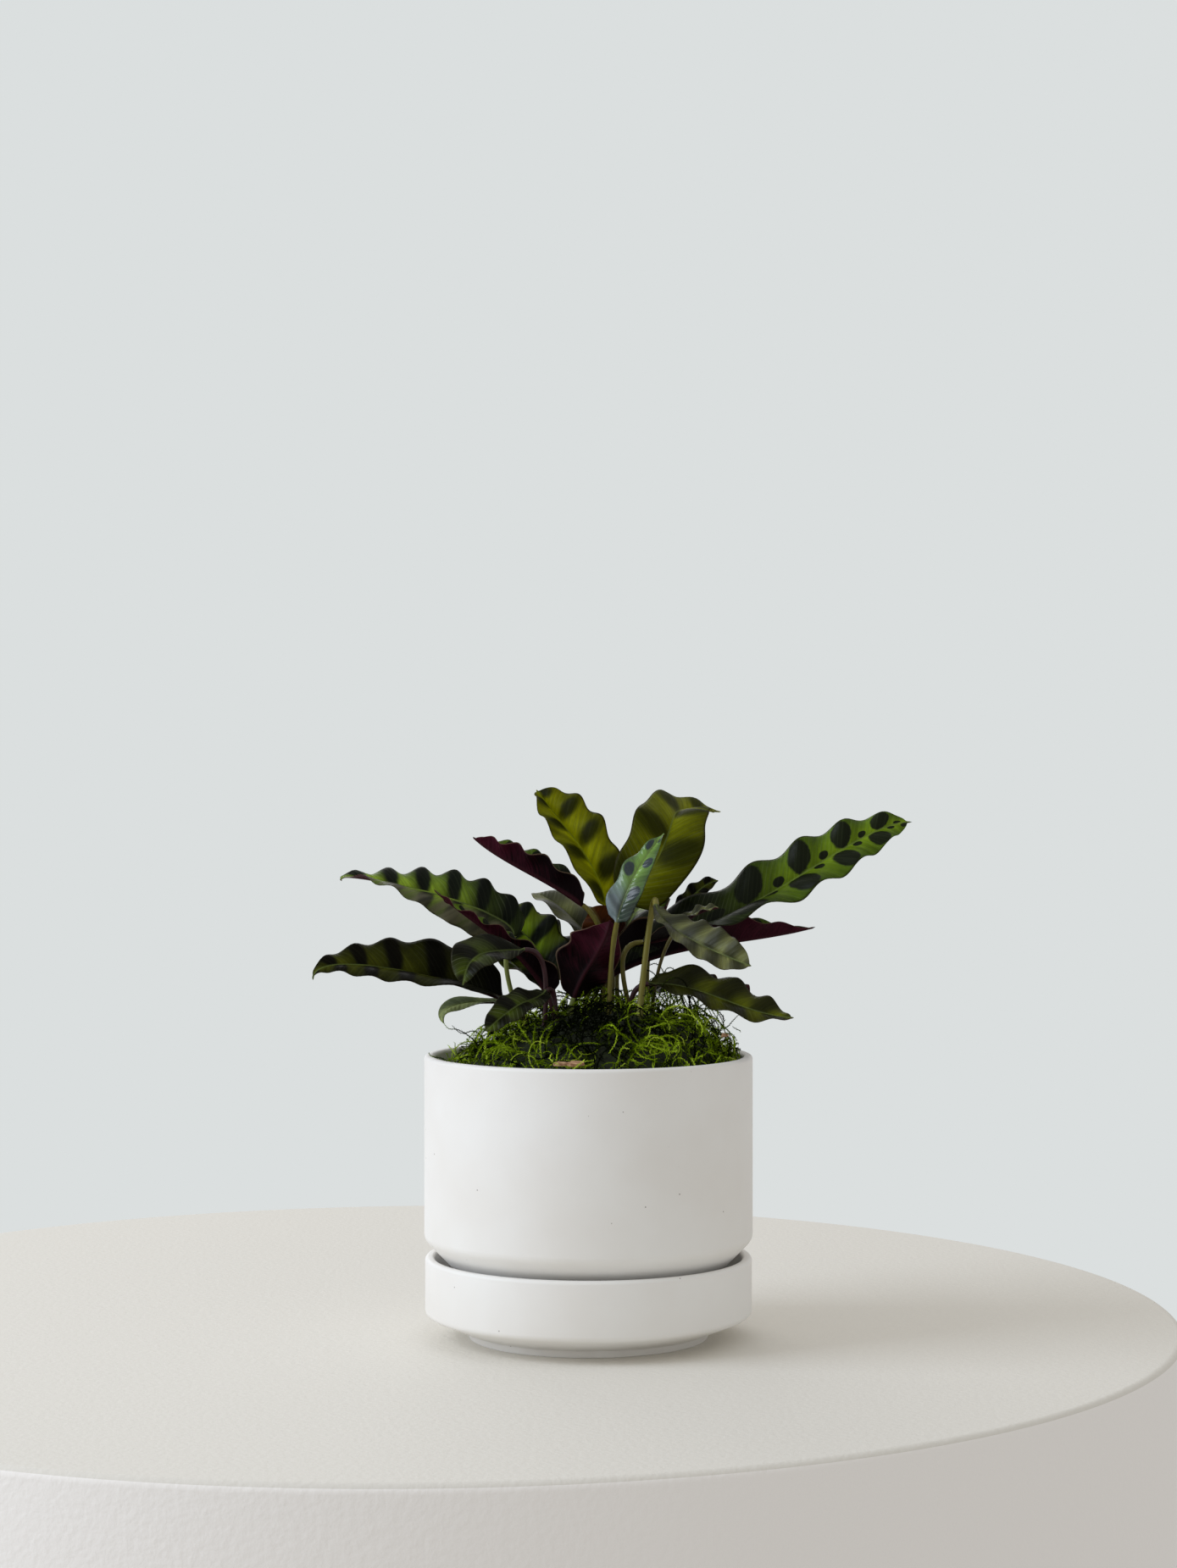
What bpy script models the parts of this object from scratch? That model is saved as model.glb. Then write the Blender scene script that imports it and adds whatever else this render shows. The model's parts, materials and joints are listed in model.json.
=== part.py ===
"""A rattlesnake plant in a matte white ceramic pot, which stands in its own saucer.

Lengths below are in millimetres and are turned into metres as each mesh is made. +Z is up, the
side that the photograph shows faces -Y, and the origin is the middle of the saucer's flat underside.
Each leaf is one node: petiole, midrib and waved blade in one loft, standing in a hole in the moss and soil.
"""

import bpy
import numpy as np

MM = 0.001
GAP = 0.3
TURN_STEPS = 48

# The saucer: an upright wall over a bevelled underside and a low flat foot.
SAUCER_RADIUS = 75.6
SAUCER_HEIGHT = 37.5
SAUCER_WALL = 4.5
SAUCER_CORNER = 11.0
SAUCER_BEVEL_RADIUS = 58.0
SAUCER_BEVEL_LOW = 4.0
SAUCER_FOOT_RADIUS = 55.0
SAUCER_FLOOR = 6.2

# The pot: a cylinder that steps in at 45 degrees to a narrower foot, with a drainage hole.
POT_RADIUS = 76.0
POT_TOP = 130.4
POT_WALL = 4.5
POT_CORNER = 45.5
POT_FOOT_RADIUS = 56.0
POT_FLOOR = 6.0
DRAIN_RADIUS = 6.0
EDGE = 1.7

# What fills the pot.
SOIL_TOP = 118.0
MOSS_RADIUS = 64.0
MOSS_SHIFT = 4.5
MOSS_RISE = 31.0
MOSS_LEAN = 0.2
MOSS_EDGE = 3.0
HOLE_ROOM = 0.35
HOLE_SIDES = 7

# How every leaf is made.
LEAF_THICK = 0.6
RIB_DEEP = 0.9
RINGS_PER_WAVE = 3.5
STALK_RINGS = 5
POINTS_ACROSS = 5
ROOT_LEVEL = 104.0
NECK = 0.25

leaves = []


def leaf(name, root, blade, width, face, fold, waves=5, ruffle=2.0, shape=(0.5, 0.6), phase=0.0, stalk=1.1,
         crowd=1.2, lag=0.6, scallop=0.1):
    """Notes down one leaf.

    root is where its petiole stands, blade the four control points of its midrib from base to tip.
    face is the way its upper side looks at base and tip, as (roll towards the front, turn about Z).
    fold is how far its left and right halves are folded up, at base and tip. shape moves the widest place.
    crowd draws the waves together towards the tip, lag is how far the right margin's waves are behind those
    of the left one, and scallop is how far they push the margin out.
    """
    leaves.append(dict(name=name, root=(*root, ROOT_LEVEL), blade=blade, width=width, face=face, fold=fold,
                       waves=waves, ruffle=ruffle, shape=shape, phase=phase, stalk=stalk, crowd=crowd,
                       lag=lag, scallop=scallop))


leaf("leaf_01", (27, 7), [(23.6, 7, 181.9), (77.1, 14, 186.8), (127, 24, 239.4), (154.2, 38, 237.6)], 34.7,
     ((8, 0), (66, 0)), ((32, 2), (34, 2)), 5.0, 3.0, (0.27, 0.54), 0.13, crowd=1.7, lag=0.23, scallop=0.05)
leaf("leaf_02", (14, 12), [(17, 12, 198.6), (54.6, 12, 245), (24.8, 34, 246.1), (64.4, 66, 242.3)], 35.6,
     ((80, 0), (6, -70)), ((4, 46), (2, 2)), 3.95, 1.1, (0.44, 0.78), 0.25,
     crowd=1.48, lag=0.33, scallop=0.06)
leaf("leaf_03", (4, 24.3), [(9, 23.5, 197), (3, 22, 223), (-12, 37, 234), (-25, 46, 253)], 32,
     ((79, 0), (73, 0)), ((50, 64), (8, 16)), 4, 1.6, (0.6, 0.5))
leaf("leaf_04", (9, -14), [(13, -16, 192), (16, -22, 207), (24, -14, 221), (35, -6, 233)], 15,
     ((79, -17), (74, -17)), ((8, 8), (8, 8)), 3, 1.2, (0.4, 0.85))
leaf("leaf_05", (2, 5), [(-2, 2, 199), (-18, 2, 212), (-39, 8, 218), (-54, 10, 231)], 21,
     ((0, 0), (-5, 0)), ((72, 60), (72, 60)), 4, 1.6)
leaf("leaf_06", (-24, 5), [(-35.2, 4, 184.3), (-26.6, 1, 196.8), (-122.4, -5, 219.9), (-113.3, -11, 211)],
     27.8, ((80, 0), (-7, 0)), ((2, 2), (2, 23)), 6.53, 1.4, (0.38, 0.62), 0.64,
     crowd=0.9, lag=0.82)
leaf("leaf_07", (-17, -8), [(-18, -10, 157), (-29, -15, 181), (-52, -24, 191), (-70, -31, 208)], 19,
     ((-4, 0), (8, 0)), ((60, 16), (66, 16)), 5, 1.4, (0.35, 1.3))
leaf("leaf_08", (-23, -16), [(-28.7, -26, 180.3), (-47.9, -37, 180.5), (-53.9, -56, 181.9),
     (-55.8, -59, 166.2)], 21.9, ((28, 0), (80, -20)), ((7, 4), (18, 22)), 2.24, 1.1, (0.93, 0.72), 0.73,
     crowd=1.7, lag=0.46, scallop=0.05)
leaf("leaf_09", (-25, -5), [(-38.4, -9, 156.5), (-66.5, -13, 167.3), (-126.4, -33, 183.1),
     (-124.2, -38, 167.1)], 37.9, ((35, 0), (40, 0)), ((46, 2), (32, 2)), 4.95, 1.1, (0.5, 0.93), 0.68,
     crowd=1.64, lag=0.72, scallop=0.05)
leaf("leaf_10", (-29, 10), [(-36.6, 10, 153.9), (-44.6, 11, 154.2), (-72.7, 0, 156.3), (-67.1, -2, 144.7)], 8.8,
     ((38, 0), (62, -60)), ((15, 6), (13, 3)), 1.16, 1.7, (0.59, 0.53), 0.12,
     crowd=1.01, lag=0.52, scallop=0.05)
leaf("leaf_11", (-15, -21), [(-19.3, -22, 161.3), (-27.1, -35, 155.2), (-27.1, -48, 163),
     (-45.8, -58, 145.8)], 15.5, ((38, 0), (68, -30)), ((2, 2), (23, 38)), 2.89, 1.1, (0.46, 0.43), 0.31,
     crowd=1.7, lag=0.62, scallop=0.05)
leaf("leaf_12", (-2, 21), [(1.4, 26, 180.6), (-2.8, 31.5, 188), (-17.4, 44, 203), (-27.6, 54, 202.9)], 31.7,
     ((-5, 0), (7, 0)), ((19, 8), (15, 12)), 2.43, 1.1, (0.26, 0.71), 0.96,
     crowd=0.8, lag=0.45, scallop=0.05)
leaf("leaf_13", (-16, 10), [(-17, 12, 161), (-20, 18, 177), (-32, 21, 189), (-46, 24, 197)], 30,
     ((60, 0), (50, 0)), ((20, 8), (25, 8)), 4, 1.7)
leaf("leaf_14", (3.5, 15.5), [(3, 16, 161), (33, 27, 182), (70, 40, 178), (109, 50, 187)], 38,
     ((0, 0), (-5, 0)), ((84, 60), (84, 56)), 4.7, 1.3, (0.42, 1.0), lag=0.55)
leaf("leaf_15", (-8, -10), [(-7, -13, 157), (-3, -13, 171), (8, -9, 179), (10, -5, 193)], 31,
     ((-73, 0), (-73, 0)), ((36, 26), (8, 10)), 3, 2.0, (0.7, 0.75))
leaf("leaf_16", (8.3, 4.4), [(8.3, 4.8, 182.1), (6.3, 5.6, 188.1), (4.3, 7.4, 193.2), (1.3, 10.1, 198.2)], 24,
     ((-73, 0), (-73, 0)), ((30, 20), (30, 20)), 2, 1.0)
leaf("leaf_17", (21, -22), [(30.7, -24, 200.7), (30.8, -37, 191.9), (50.6, -52, 182.7), (72, -64, 175.2)],
     21.7, ((12, 0), (56, 0)), ((4, 46), (46, 2)), 4.79, 1.1, (0.67, 0.5), 0.57,
     stalk=1.35, crowd=1.24, lag=0.55, scallop=0.05)
leaf("leaf_18", (22, -8), [(27, -9, 163.5), (51, -14, 166), (70, -25, 150), (93, -33, 150)], 24,
     ((36, 0), (36, 0)), ((22, 4), (28, 10)), 3.5, 1.8, phase=0.78)
leaf("leaf_19", (30.6, 20.3), [(40.8, 37, 195.4), (49, 38, 199.6), (53, 42.1, 208.3), (62.1, 44, 209.5)],
     10, ((50, 0), (50, 0)), ((10, 10), (10, 10)), 3, 0.8, stalk=0.8)
leaf("leaf_20", (28.4, 0.9), [(41.8, -7.7, 190), (46.8, -9.6, 196), (52.8, -11.5, 198), (59.8, -12.4, 199)],
     9, ((20, 0), (20, 0)), ((20, 20), (20, 20)), 3, 0.8, stalk=0.8)
leaf("leaf_21", (17, 19), [(14, 29, 172), (18, 46, 192), (27, 74, 204), (34, 96, 190)], 30,
     ((10, 0), (0, 0)), ((14, 10), (14, 10)), 5, 2.0)
leaf("leaf_22", (-6, 15), [(-10, 26, 166), (-22, 42, 186), (-38, 66, 194), (-54, 84, 184)], 28,
     ((8, 0), (0, 0)), ((16, 10), (16, 10)), 5, 2.0)
leaf("leaf_23", (22, 22), [(26, 30, 154), (40, 40, 164), (60, 62, 162), (82, 78, 150)], 26,
     ((0, 0), (0, 0)), ((14, 8), (14, 8)), 5, 1.8)
leaf("leaf_24", (3, 29), [(3, 36, 156), (0, 56, 170), (-6, 86, 170), (-10, 108, 156)], 28,
     ((0, 0), (0, 0)), ((14, 8), (14, 8)), 5, 1.9)
leaf("leaf_25", (-15, 17), [(-22, 25, 160), (-35, 38, 173), (-52, 58, 175), (-66, 74, 168)], 24,
     ((0, 0), (0, 0)), ((14, 8), (14, 8)), 5, 1.7)


def unit(v):
    return v / np.linalg.norm(v, axis=-1, keepdims=True)


def smooth(t):
    t = np.clip(t, 0, 1)
    return t * t * (3 - 2 * t)


def cubic(p, t):
    a, b, c, d = (np.asarray(q, float) for q in p)
    t = np.asarray(t)[:, None]
    return (1 - t) ** 3 * a + 3 * t * (1 - t) ** 2 * b + 3 * t * t * (1 - t) * c + t ** 3 * d


def along(p, n):
    """n + 1 points at equal steps down a cubic, and the directions there."""
    fine = np.linspace(0, 1, 401)
    run = np.concatenate([[0], np.cumsum(np.linalg.norm(np.diff(cubic(p, fine), axis=0), axis=1))])
    t = np.interp(np.linspace(0, run[-1], n + 1), run, fine)
    near = np.clip(t, 0.0005, 0.9995)
    return cubic(p, t), unit(cubic(p, near + 0.0005) - cubic(p, near - 0.0005))


def facing(roll, turn):
    """Upward, rolled towards the front by one angle and then turned about Z by the other, in degrees."""
    r, q = np.radians(roll), np.radians(turn)
    return np.array((np.sin(r) * np.sin(q), -np.sin(r) * np.cos(q), np.cos(r)))


def stalk_of(item):
    """Control points of a petiole: straight up from the soil, then bending over into its blade."""
    foot, base = np.array(item["root"], float), np.array(item["blade"][0], float)
    ahead = unit(np.array(item["blade"][1], float) - base)
    rise = np.linalg.norm(base - foot)
    return [foot, foot + np.array((0, 0, 0.45 * rise)), base - ahead * NECK * rise, base]


def frames(item):
    """From the petiole's foot to the tip: s from -1, with 0 at the blade's base, to 1, point, normal, side."""
    steps = round(item["waves"] * RINGS_PER_WAVE)
    blade, blade_way = along(item["blade"], steps)
    stalk, stalk_way = along(stalk_of(item), STALK_RINGS)
    x = np.linspace(0, 1, steps + 1)[:, None]
    face = facing(*item["face"][0]) * (1 - x) + facing(*item["face"][1]) * x
    normal = unit(face - blade_way * (face * blade_way).sum(1, keepdims=True))
    side = np.cross(blade_way, normal)
    stalk_side = unit(side[0] - stalk_way * (stalk_way @ side[0])[:, None])
    stalk_normal = np.cross(stalk_side, stalk_way)
    s = np.concatenate([np.linspace(-1, 0, STALK_RINGS + 1)[:-1], x[:, 0]])
    return zip(s, np.vstack([stalk[:-1], blade]), np.vstack([stalk_normal[:-1], normal]),
               np.vstack([stalk_side[:-1], side]))


def stalk_radius(item, s):
    """A petiole swells into a sheath low down and thins out along the midrib."""
    if s < 0:
        return item["stalk"] * (1 + 0.5 * smooth((-s - 0.35) / 0.5))
    return item["stalk"] * (1 - 0.4 * s)


def ring_round(point, normal, side, radius, angles):
    angles = angles[:, None]
    return point + radius * (np.cos(angles) * side + np.sin(angles) * normal)


def stalk_angles():
    """Angles that match a round section's points to those of a blade's section."""
    upper = np.pi * (0.5 - 0.44 * np.linspace(-1, 1, POINTS_ACROSS))
    return np.concatenate([upper, -upper[::-1]])


def ring_flat(item, x, point, normal, side):
    """A blade's section: over its upper side from the left margin to the right, and back underneath."""
    rise, fall = item["shape"]
    most = (rise / (rise + fall)) ** rise * (fall / (rise + fall)) ** fall
    t = min(x / 0.98, 1.0)
    half = max(item["width"] / 2 * t ** rise * (1 - t) ** fall / most, 0.5)
    v = np.linspace(-1, 1, POINTS_ACROSS)
    a = np.abs(v)
    ends = smooth(x / 0.12) * smooth((1 - x) / 0.12)
    turn = item["waves"] * x ** item["crowd"] - 0.2 * a + item["phase"] + np.where(v > 0, item["lag"], 0.0)
    wave = np.sin(2 * np.pi * turn)
    (left, left_tip), (right, right_tip) = item["fold"]
    fold = np.radians(np.where(v < 0, left + (left_tip - left) * x, right + (right_tip - right) * x))
    way = np.sign(v)
    out = (way * np.cos(fold))[:, None] * side + np.sin(fold)[:, None] * normal
    up = np.cos(fold * np.abs(way))[:, None] * normal - (way * np.sin(fold))[:, None] * side
    lift = item["ruffle"] * ends * a ** 1.4 * wave + 0.4 * half * (a - a * a) * ends
    reach = half * a * (1 + item["scallop"] * ends * wave)
    upper = point + reach[:, None] * out + lift[:, None] * up
    deep = (LEAF_THICK + RIB_DEEP * (1 - a) ** 3 * (1 - x))[:, None]
    return np.vstack([upper, (upper - deep * up)[::-1]])


def leaf_rings(item):
    rings = []
    for s, point, normal, side in frames(item):
        ring = ring_round(point, normal, side, stalk_radius(item, s), stalk_angles())
        if s > 0:
            mix = smooth(s / 0.06)
            ring = ring * (1 - mix) + ring_flat(item, s, point, normal, side) * mix
        rings.append(ring)
    return np.array(rings)


def hole_rings(item):
    """The petiole's path in moss and soil, a little wider and starting a little lower."""
    angles = np.linspace(np.pi, -np.pi, HOLE_SIDES, endpoint=False)
    wider = 1 / np.cos(np.pi / HOLE_SIDES)
    rings = [ring_round(point, normal, side, (stalk_radius(item, s) + HOLE_ROOM) * wider, angles)
             for s, point, normal, side in frames(item) if s <= 0]
    return np.array([rings[0] - np.array((0, 0, HOLE_ROOM))] + rings[1:])


def skinned(rings):
    """Triangles over a stack of rings, split alike on both faces, with both ends closed."""
    rows, n = rings.shape[:2]
    faces = []
    for i in range(rows - 1):
        for j in range(n):
            k = (j + 1) % n
            a, b, c, d = i * n + j, (i + 1) * n + j, (i + 1) * n + k, i * n + k
            faces += [(a, c, b), (a, d, c)] if j < n // 2 else [(d, b, a), (d, c, b)]
    last = (rows - 1) * n
    for j in range(1, n - 1):
        faces += [(0, j + 1, j), (last, last + j, last + j + 1)]
    return rings.reshape(-1, 3), faces


def add_mesh(name, points, faces, collection):
    mesh = bpy.data.meshes.new(name)
    mesh.from_pydata([tuple(float(c) * MM for c in p) for p in points], [], faces)
    mesh.validate()
    obj = bpy.data.objects.new(name, mesh)
    collection.objects.link(obj)
    return obj


def paint(obj, colour, roughness):
    material = bpy.data.materials.new(obj.name)
    material.use_nodes = True
    shader = material.node_tree.nodes["Principled BSDF"]
    shader.inputs["Base Color"].default_value = (*colour, 1.0)
    shader.inputs["Roughness"].default_value = roughness
    obj.data.materials.clear()
    obj.data.materials.append(material)


def corner(r, z, radius, start, stop, steps=2):
    """Points round an edge: an arc about (r, z) from one angle to another, in degrees."""
    return [(r + radius * np.cos(np.radians(q)), z + radius * np.sin(np.radians(q)))
            for q in np.linspace(start, stop, steps + 1)]


def turned(name, profile, ring, collection):
    """A Screw of a profile of (radius, height) about Z. ring closes the profile into a loop."""
    n = len(profile)
    edges = [(i, (i + 1) % n) for i in range(n if ring else n - 1)]
    mesh = bpy.data.meshes.new(name)
    mesh.from_pydata([(r * MM, 0, z * MM) for r, z in profile], edges, [])
    obj = bpy.data.objects.new(name, mesh)
    collection.objects.link(obj)
    screw = obj.modifiers.new("Turn", "SCREW")
    screw.axis = "Z"
    screw.steps = screw.render_steps = TURN_STEPS
    screw.use_merge_vertices = True
    screw.merge_threshold = 0.00001
    return obj


def saucer_profile():
    inner = SAUCER_RADIUS - SAUCER_WALL
    rise = (SAUCER_CORNER - SAUCER_BEVEL_LOW) / (SAUCER_RADIUS - SAUCER_BEVEL_RADIUS)
    inner_low = SAUCER_FLOOR + (inner - SAUCER_BEVEL_RADIUS + 1) * rise * 1.35
    return [(0, SAUCER_FLOOR), (SAUCER_BEVEL_RADIUS - 1, SAUCER_FLOOR), (inner, inner_low),
            *corner(inner + EDGE, SAUCER_HEIGHT - EDGE, EDGE, 180, 90),
            *corner(SAUCER_RADIUS - EDGE, SAUCER_HEIGHT - EDGE, EDGE, 90, 0),
            (SAUCER_RADIUS, SAUCER_CORNER + 2), (SAUCER_RADIUS - 2.2, SAUCER_CORNER - 0.9),
            (SAUCER_BEVEL_RADIUS, SAUCER_BEVEL_LOW), (SAUCER_FOOT_RADIUS + 1, SAUCER_BEVEL_LOW - 0.6),
            (SAUCER_FOOT_RADIUS + 0.5, 0.6), (SAUCER_FOOT_RADIUS, 0), (0, 0)]


def pot_inside(room=0.0):
    """The inner wall from its top edge's level down to the floor, drawn in by room."""
    low = SAUCER_FLOOR + GAP + POT_FLOOR
    inner = POT_RADIUS - POT_WALL
    bend = POT_CORNER + POT_WALL * np.tan(np.pi / 8)
    foot = POT_FOOT_RADIUS - POT_WALL
    return [(inner - room, bend - room * np.tan(np.pi / 8) + room),
            (foot - room, bend - (inner - foot) + room), (foot - room, low + room)]


def pot_profile():
    low = SAUCER_FLOOR + GAP
    inner = POT_RADIUS - POT_WALL
    floor = low + POT_FLOOR
    return [*corner(POT_RADIUS - EDGE, POT_TOP - EDGE, EDGE, 90, 0),
            (POT_RADIUS, POT_CORNER + 2.2), (POT_RADIUS - 1.6, POT_CORNER - 1.6),
            (POT_FOOT_RADIUS, POT_CORNER - POT_RADIUS + POT_FOOT_RADIUS),
            (POT_FOOT_RADIUS, low + 1), (POT_FOOT_RADIUS - 1, low),
            (DRAIN_RADIUS, low), (DRAIN_RADIUS, floor), *reversed(pot_inside()),
            *corner(inner + EDGE, POT_TOP - EDGE, EDGE, 180, 90)]


def soil_profile():
    wall = pot_inside(GAP)
    r = wall[0][0]
    return [(0, SOIL_TOP), (r - 2, SOIL_TOP), (r, SOIL_TOP - 1.5), *wall, (0, wall[-1][1])]


def moss_top(r, angle):
    """Height of the moss: a mound with soft lumps that stops short at the left and is higher at the right."""
    x, y = r * np.cos(angle), r * np.sin(angle)
    edge = MOSS_RADIUS + MOSS_SHIFT * np.cos(angle)
    dome = MOSS_RISE * np.maximum(1 - (r / edge) ** 2, 0) ** 0.6 * (1 + MOSS_LEAN * x / MOSS_RADIUS)
    lumps = 1.3 * np.sin(0.33 * x + 1) * np.cos(0.29 * y) + 0.8 * np.sin(0.55 * x - 0.45 * y)
    return SOIL_TOP + GAP + MOSS_EDGE + dome + lumps * smooth((edge - r) / 12)


def moss_mesh(rings=9, around=40):
    """A mound whose flat underside lies on the soil."""
    low = SOIL_TOP + GAP
    points = [(0, 0, float(moss_top(0.0, 0.0))), (0, 0, low)]
    faces = []
    for i in range(1, rings + 1):
        for k in range(around):
            q = 2 * np.pi * k / around
            r = (MOSS_RADIUS + MOSS_SHIFT * np.cos(q) + 0.8 * np.sin(5 * q)) * i / rings
            points.append((r * np.cos(q), r * np.sin(q), float(moss_top(r, q))))
    rim = 2 + (rings - 1) * around
    for k in range(around):
        x, y, _ = points[rim + k]
        points.append((x * 1.01, y * 1.01, low))
    for k in range(around):
        m = (k + 1) % around
        faces.append((0, 2 + k, 2 + m))
        for i in range(rings):
            a, b = 2 + i * around + k, 2 + i * around + m
            faces += [(a, a + around, b + around), (a, b + around, b)]
        faces.append((1, rim + around + m, rim + around + k))
    return points, faces


def bore(obj, cutters):
    """Cuts a hole for every petiole."""
    cut = obj.modifiers.new("Holes", "BOOLEAN")
    cut.operation = "DIFFERENCE"
    cut.operand_type = "COLLECTION"
    cut.collection = cutters
    cut.solver = "EXACT"


def main():
    for obj in list(bpy.data.objects):
        bpy.data.objects.remove(obj, do_unlink=True)
    plant = bpy.data.collections.new("Potted calathea")
    cutters = bpy.data.collections.new("Cutters")
    bpy.context.scene.collection.children.link(plant)
    bpy.context.scene.collection.children.link(cutters)
    cutters.hide_render = True

    paint(turned("saucer", saucer_profile(), False, plant), (0.84, 0.83, 0.81), 0.6)
    paint(turned("pot", pot_profile(), True, plant), (0.84, 0.83, 0.81), 0.6)
    soil = turned("soil", soil_profile(), False, plant)
    moss = add_mesh("moss", *moss_mesh(), plant)
    paint(soil, (0.05, 0.035, 0.025), 0.95)
    paint(moss, (0.12, 0.24, 0.03), 0.9)
    for item in leaves:
        hole = add_mesh("hole_" + item["name"], *skinned(hole_rings(item)), cutters)
        hole.hide_render = True
        hole.display_type = "WIRE"
        paint(add_mesh(item["name"], *skinned(leaf_rings(item)), plant), (0.10, 0.22, 0.05), 0.45)
    bore(soil, cutters)
    bore(moss, cutters)


main()
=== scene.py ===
"""A rattlesnake plant in a matte white pot and saucer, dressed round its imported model.

Sizes are in millimetres, but in metres inside the node trees, for the stage and in the settings with a unit.
The leaves and the moss strands are grown by Geometry Nodes, one rule each, with a row of numbers per leaf.
"""

import json
import math
import random
from functools import partial

import bmesh
import bpy
from bpy.props import FloatProperty, FloatVectorProperty, IntProperty, PointerProperty
from mathutils import Matrix, Vector

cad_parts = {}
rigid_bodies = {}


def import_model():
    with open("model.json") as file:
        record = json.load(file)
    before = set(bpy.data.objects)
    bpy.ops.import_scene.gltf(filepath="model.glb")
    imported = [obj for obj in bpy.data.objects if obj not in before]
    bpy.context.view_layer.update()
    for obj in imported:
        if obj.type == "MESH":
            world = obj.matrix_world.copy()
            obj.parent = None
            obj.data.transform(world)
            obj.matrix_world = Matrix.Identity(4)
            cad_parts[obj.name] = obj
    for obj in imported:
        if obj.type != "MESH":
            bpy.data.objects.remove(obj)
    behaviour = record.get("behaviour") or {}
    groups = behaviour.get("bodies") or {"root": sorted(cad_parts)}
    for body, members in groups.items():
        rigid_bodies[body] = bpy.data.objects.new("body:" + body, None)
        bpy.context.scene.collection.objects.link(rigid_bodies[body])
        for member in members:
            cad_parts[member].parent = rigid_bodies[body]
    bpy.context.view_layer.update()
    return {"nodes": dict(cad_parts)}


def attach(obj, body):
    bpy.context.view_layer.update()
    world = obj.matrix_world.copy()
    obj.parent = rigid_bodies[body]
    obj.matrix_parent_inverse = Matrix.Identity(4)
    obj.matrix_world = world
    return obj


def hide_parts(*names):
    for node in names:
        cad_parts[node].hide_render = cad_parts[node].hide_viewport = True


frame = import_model()

bl_info = {
    "name": "Potted Calathea",
    "version": (1, 0, 0),
    "blender": (4, 5, 0),
    "location": "View3D > Sidebar > Calathea",
    "description": "Grows the leaves and moss of a potted rattlesnake plant and finishes its pot, saucer and soil",
    "category": "Add Mesh",
}

MM = 0.001

# Short names for the kinds of node that are used most, each with its settings.
KINDS = {
    "RANGE": ("ShaderNodeMapRange", {}), "SMOOTH": ("ShaderNodeMapRange", {"interpolation_type": "SMOOTHSTEP"}),
    "MIX": ("ShaderNodeMix", {"data_type": "RGBA"}), "MIX_VECTOR": ("ShaderNodeMix", {"data_type": "VECTOR"}),
    "PICK": ("GeometryNodeSwitch", {"input_type": "FLOAT"}),
    "PICK_VECTOR": ("GeometryNodeSwitch", {"input_type": "VECTOR"}),
    "NOISE": ("ShaderNodeTexNoise", {}), "BUMP": ("ShaderNodeBump", {}),
    "PRINCIPLED": ("ShaderNodeBsdfPrincipled", {}), "COMPARE": ("FunctionNodeCompare", {}),
    "COMBINE": ("ShaderNodeCombineXYZ", {}), "SEPARATE": ("ShaderNodeSeparateXYZ", {}),
    "AXIS_ANGLE": ("FunctionNodeAxisAngleToRotation", {}), "SET_MATERIAL": ("GeometryNodeSetMaterial", {}),
    "STORE": ("GeometryNodeStoreNamedAttribute", {}), "RANDOM": ("FunctionNodeRandomValue", {"data_type": "FLOAT"}),
}
for act in ("ABSOLUTE", "ADD", "COSINE", "DIVIDE", "EXPONENT", "FRACT", "LESS_THAN", "MAXIMUM", "MINIMUM", "MULTIPLY",
            "MULTIPLY_ADD", "POWER", "SIGN", "SINE", "SUBTRACT"):
    KINDS[act] = ("ShaderNodeMath", {"operation": act})
for act in ("ADD", "CROSS_PRODUCT", "DISTANCE", "DOT_PRODUCT", "LENGTH", "MULTIPLY", "NORMALIZE", "PROJECT", "SCALE",
            "SUBTRACT"):
    KINDS["V_" + act] = ("ShaderNodeVectorMath", {"operation": act})

# The photograph's size in pixels, and the camera that fits it: level, looking along +Y.
PHOTO = (1389, 1851)
CAMERA_BACK, CAMERA_HIGH, FOCAL_PIXELS = 1375.0, 255.7, 3500.0

# The pot and its saucer, as in the part's source: their rims, then the radius and height of each corner below them.
POT_RADIUS, POT_TOP, SAUCER_RADIUS, SAUCER_TOP, WALL = 76.0, 130.4, 75.6, 37.5, 4.5
POT_SIDES = [(76, 48.1), (75.8, 46.7), (75.25, 45.5), (74.3, 44.2), (56.6, 26.1), (56, 25.3), (56, 7.5), (55.7, 6.8),
             (55, 6.5), (6.5, 6.5), (6, 7), (6, 12), (6.5, 12.5), (51.5, 12.5), (51.5, 27.36396), (71.5, 47.36396)]
SAUCER_INSIDE = [(0, 6.2), (55.5, 6.2), (57, 6.3), (58.4, 6.9), (70.4, 13.3707), (70.95, 14.1707), (71.1, 15.1707)]
SAUCER_OUTSIDE = [(75.6, 13.2), (75.35, 12), (74.65, 11), (73.4, 10.2), (59, 4.35), (57.5, 3.85), (56.1, 3.4),
                  (55.6, 2.8), (55.5, 0.6), (55.3, 0.15), (55, 0), (0, 0)]

# The soil and the moss on it, as in the part's source. Loose shoots stay within MOSS_ROOM of the middle.
SOIL_TOP, GAP, MOSS_RADIUS, MOSS_SHIFT, MOSS_RISE, MOSS_LEAN, MOSS_EDGE = 118.0, 0.3, 64.0, 4.5, 31.0, 0.2, 3.0
MOSS_ROOM = 66.0

# How high the petioles start, and how far their lower and upper ends pull, in shares of their length.
ROOT_LEVEL, FOOT_PULL, NECK_PULL = 104.0, 0.45, 0.25


def linear(code):
    """Scene-linear red, green and blue of an sRGB hex colour."""
    parts = [int(code[i:i + 2], 16) / 255 for i in (0, 2, 4)]
    return tuple(c / 12.92 if c <= 0.04045 else ((c + 0.055) / 1.055) ** 2.4 for c in parts)


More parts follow.
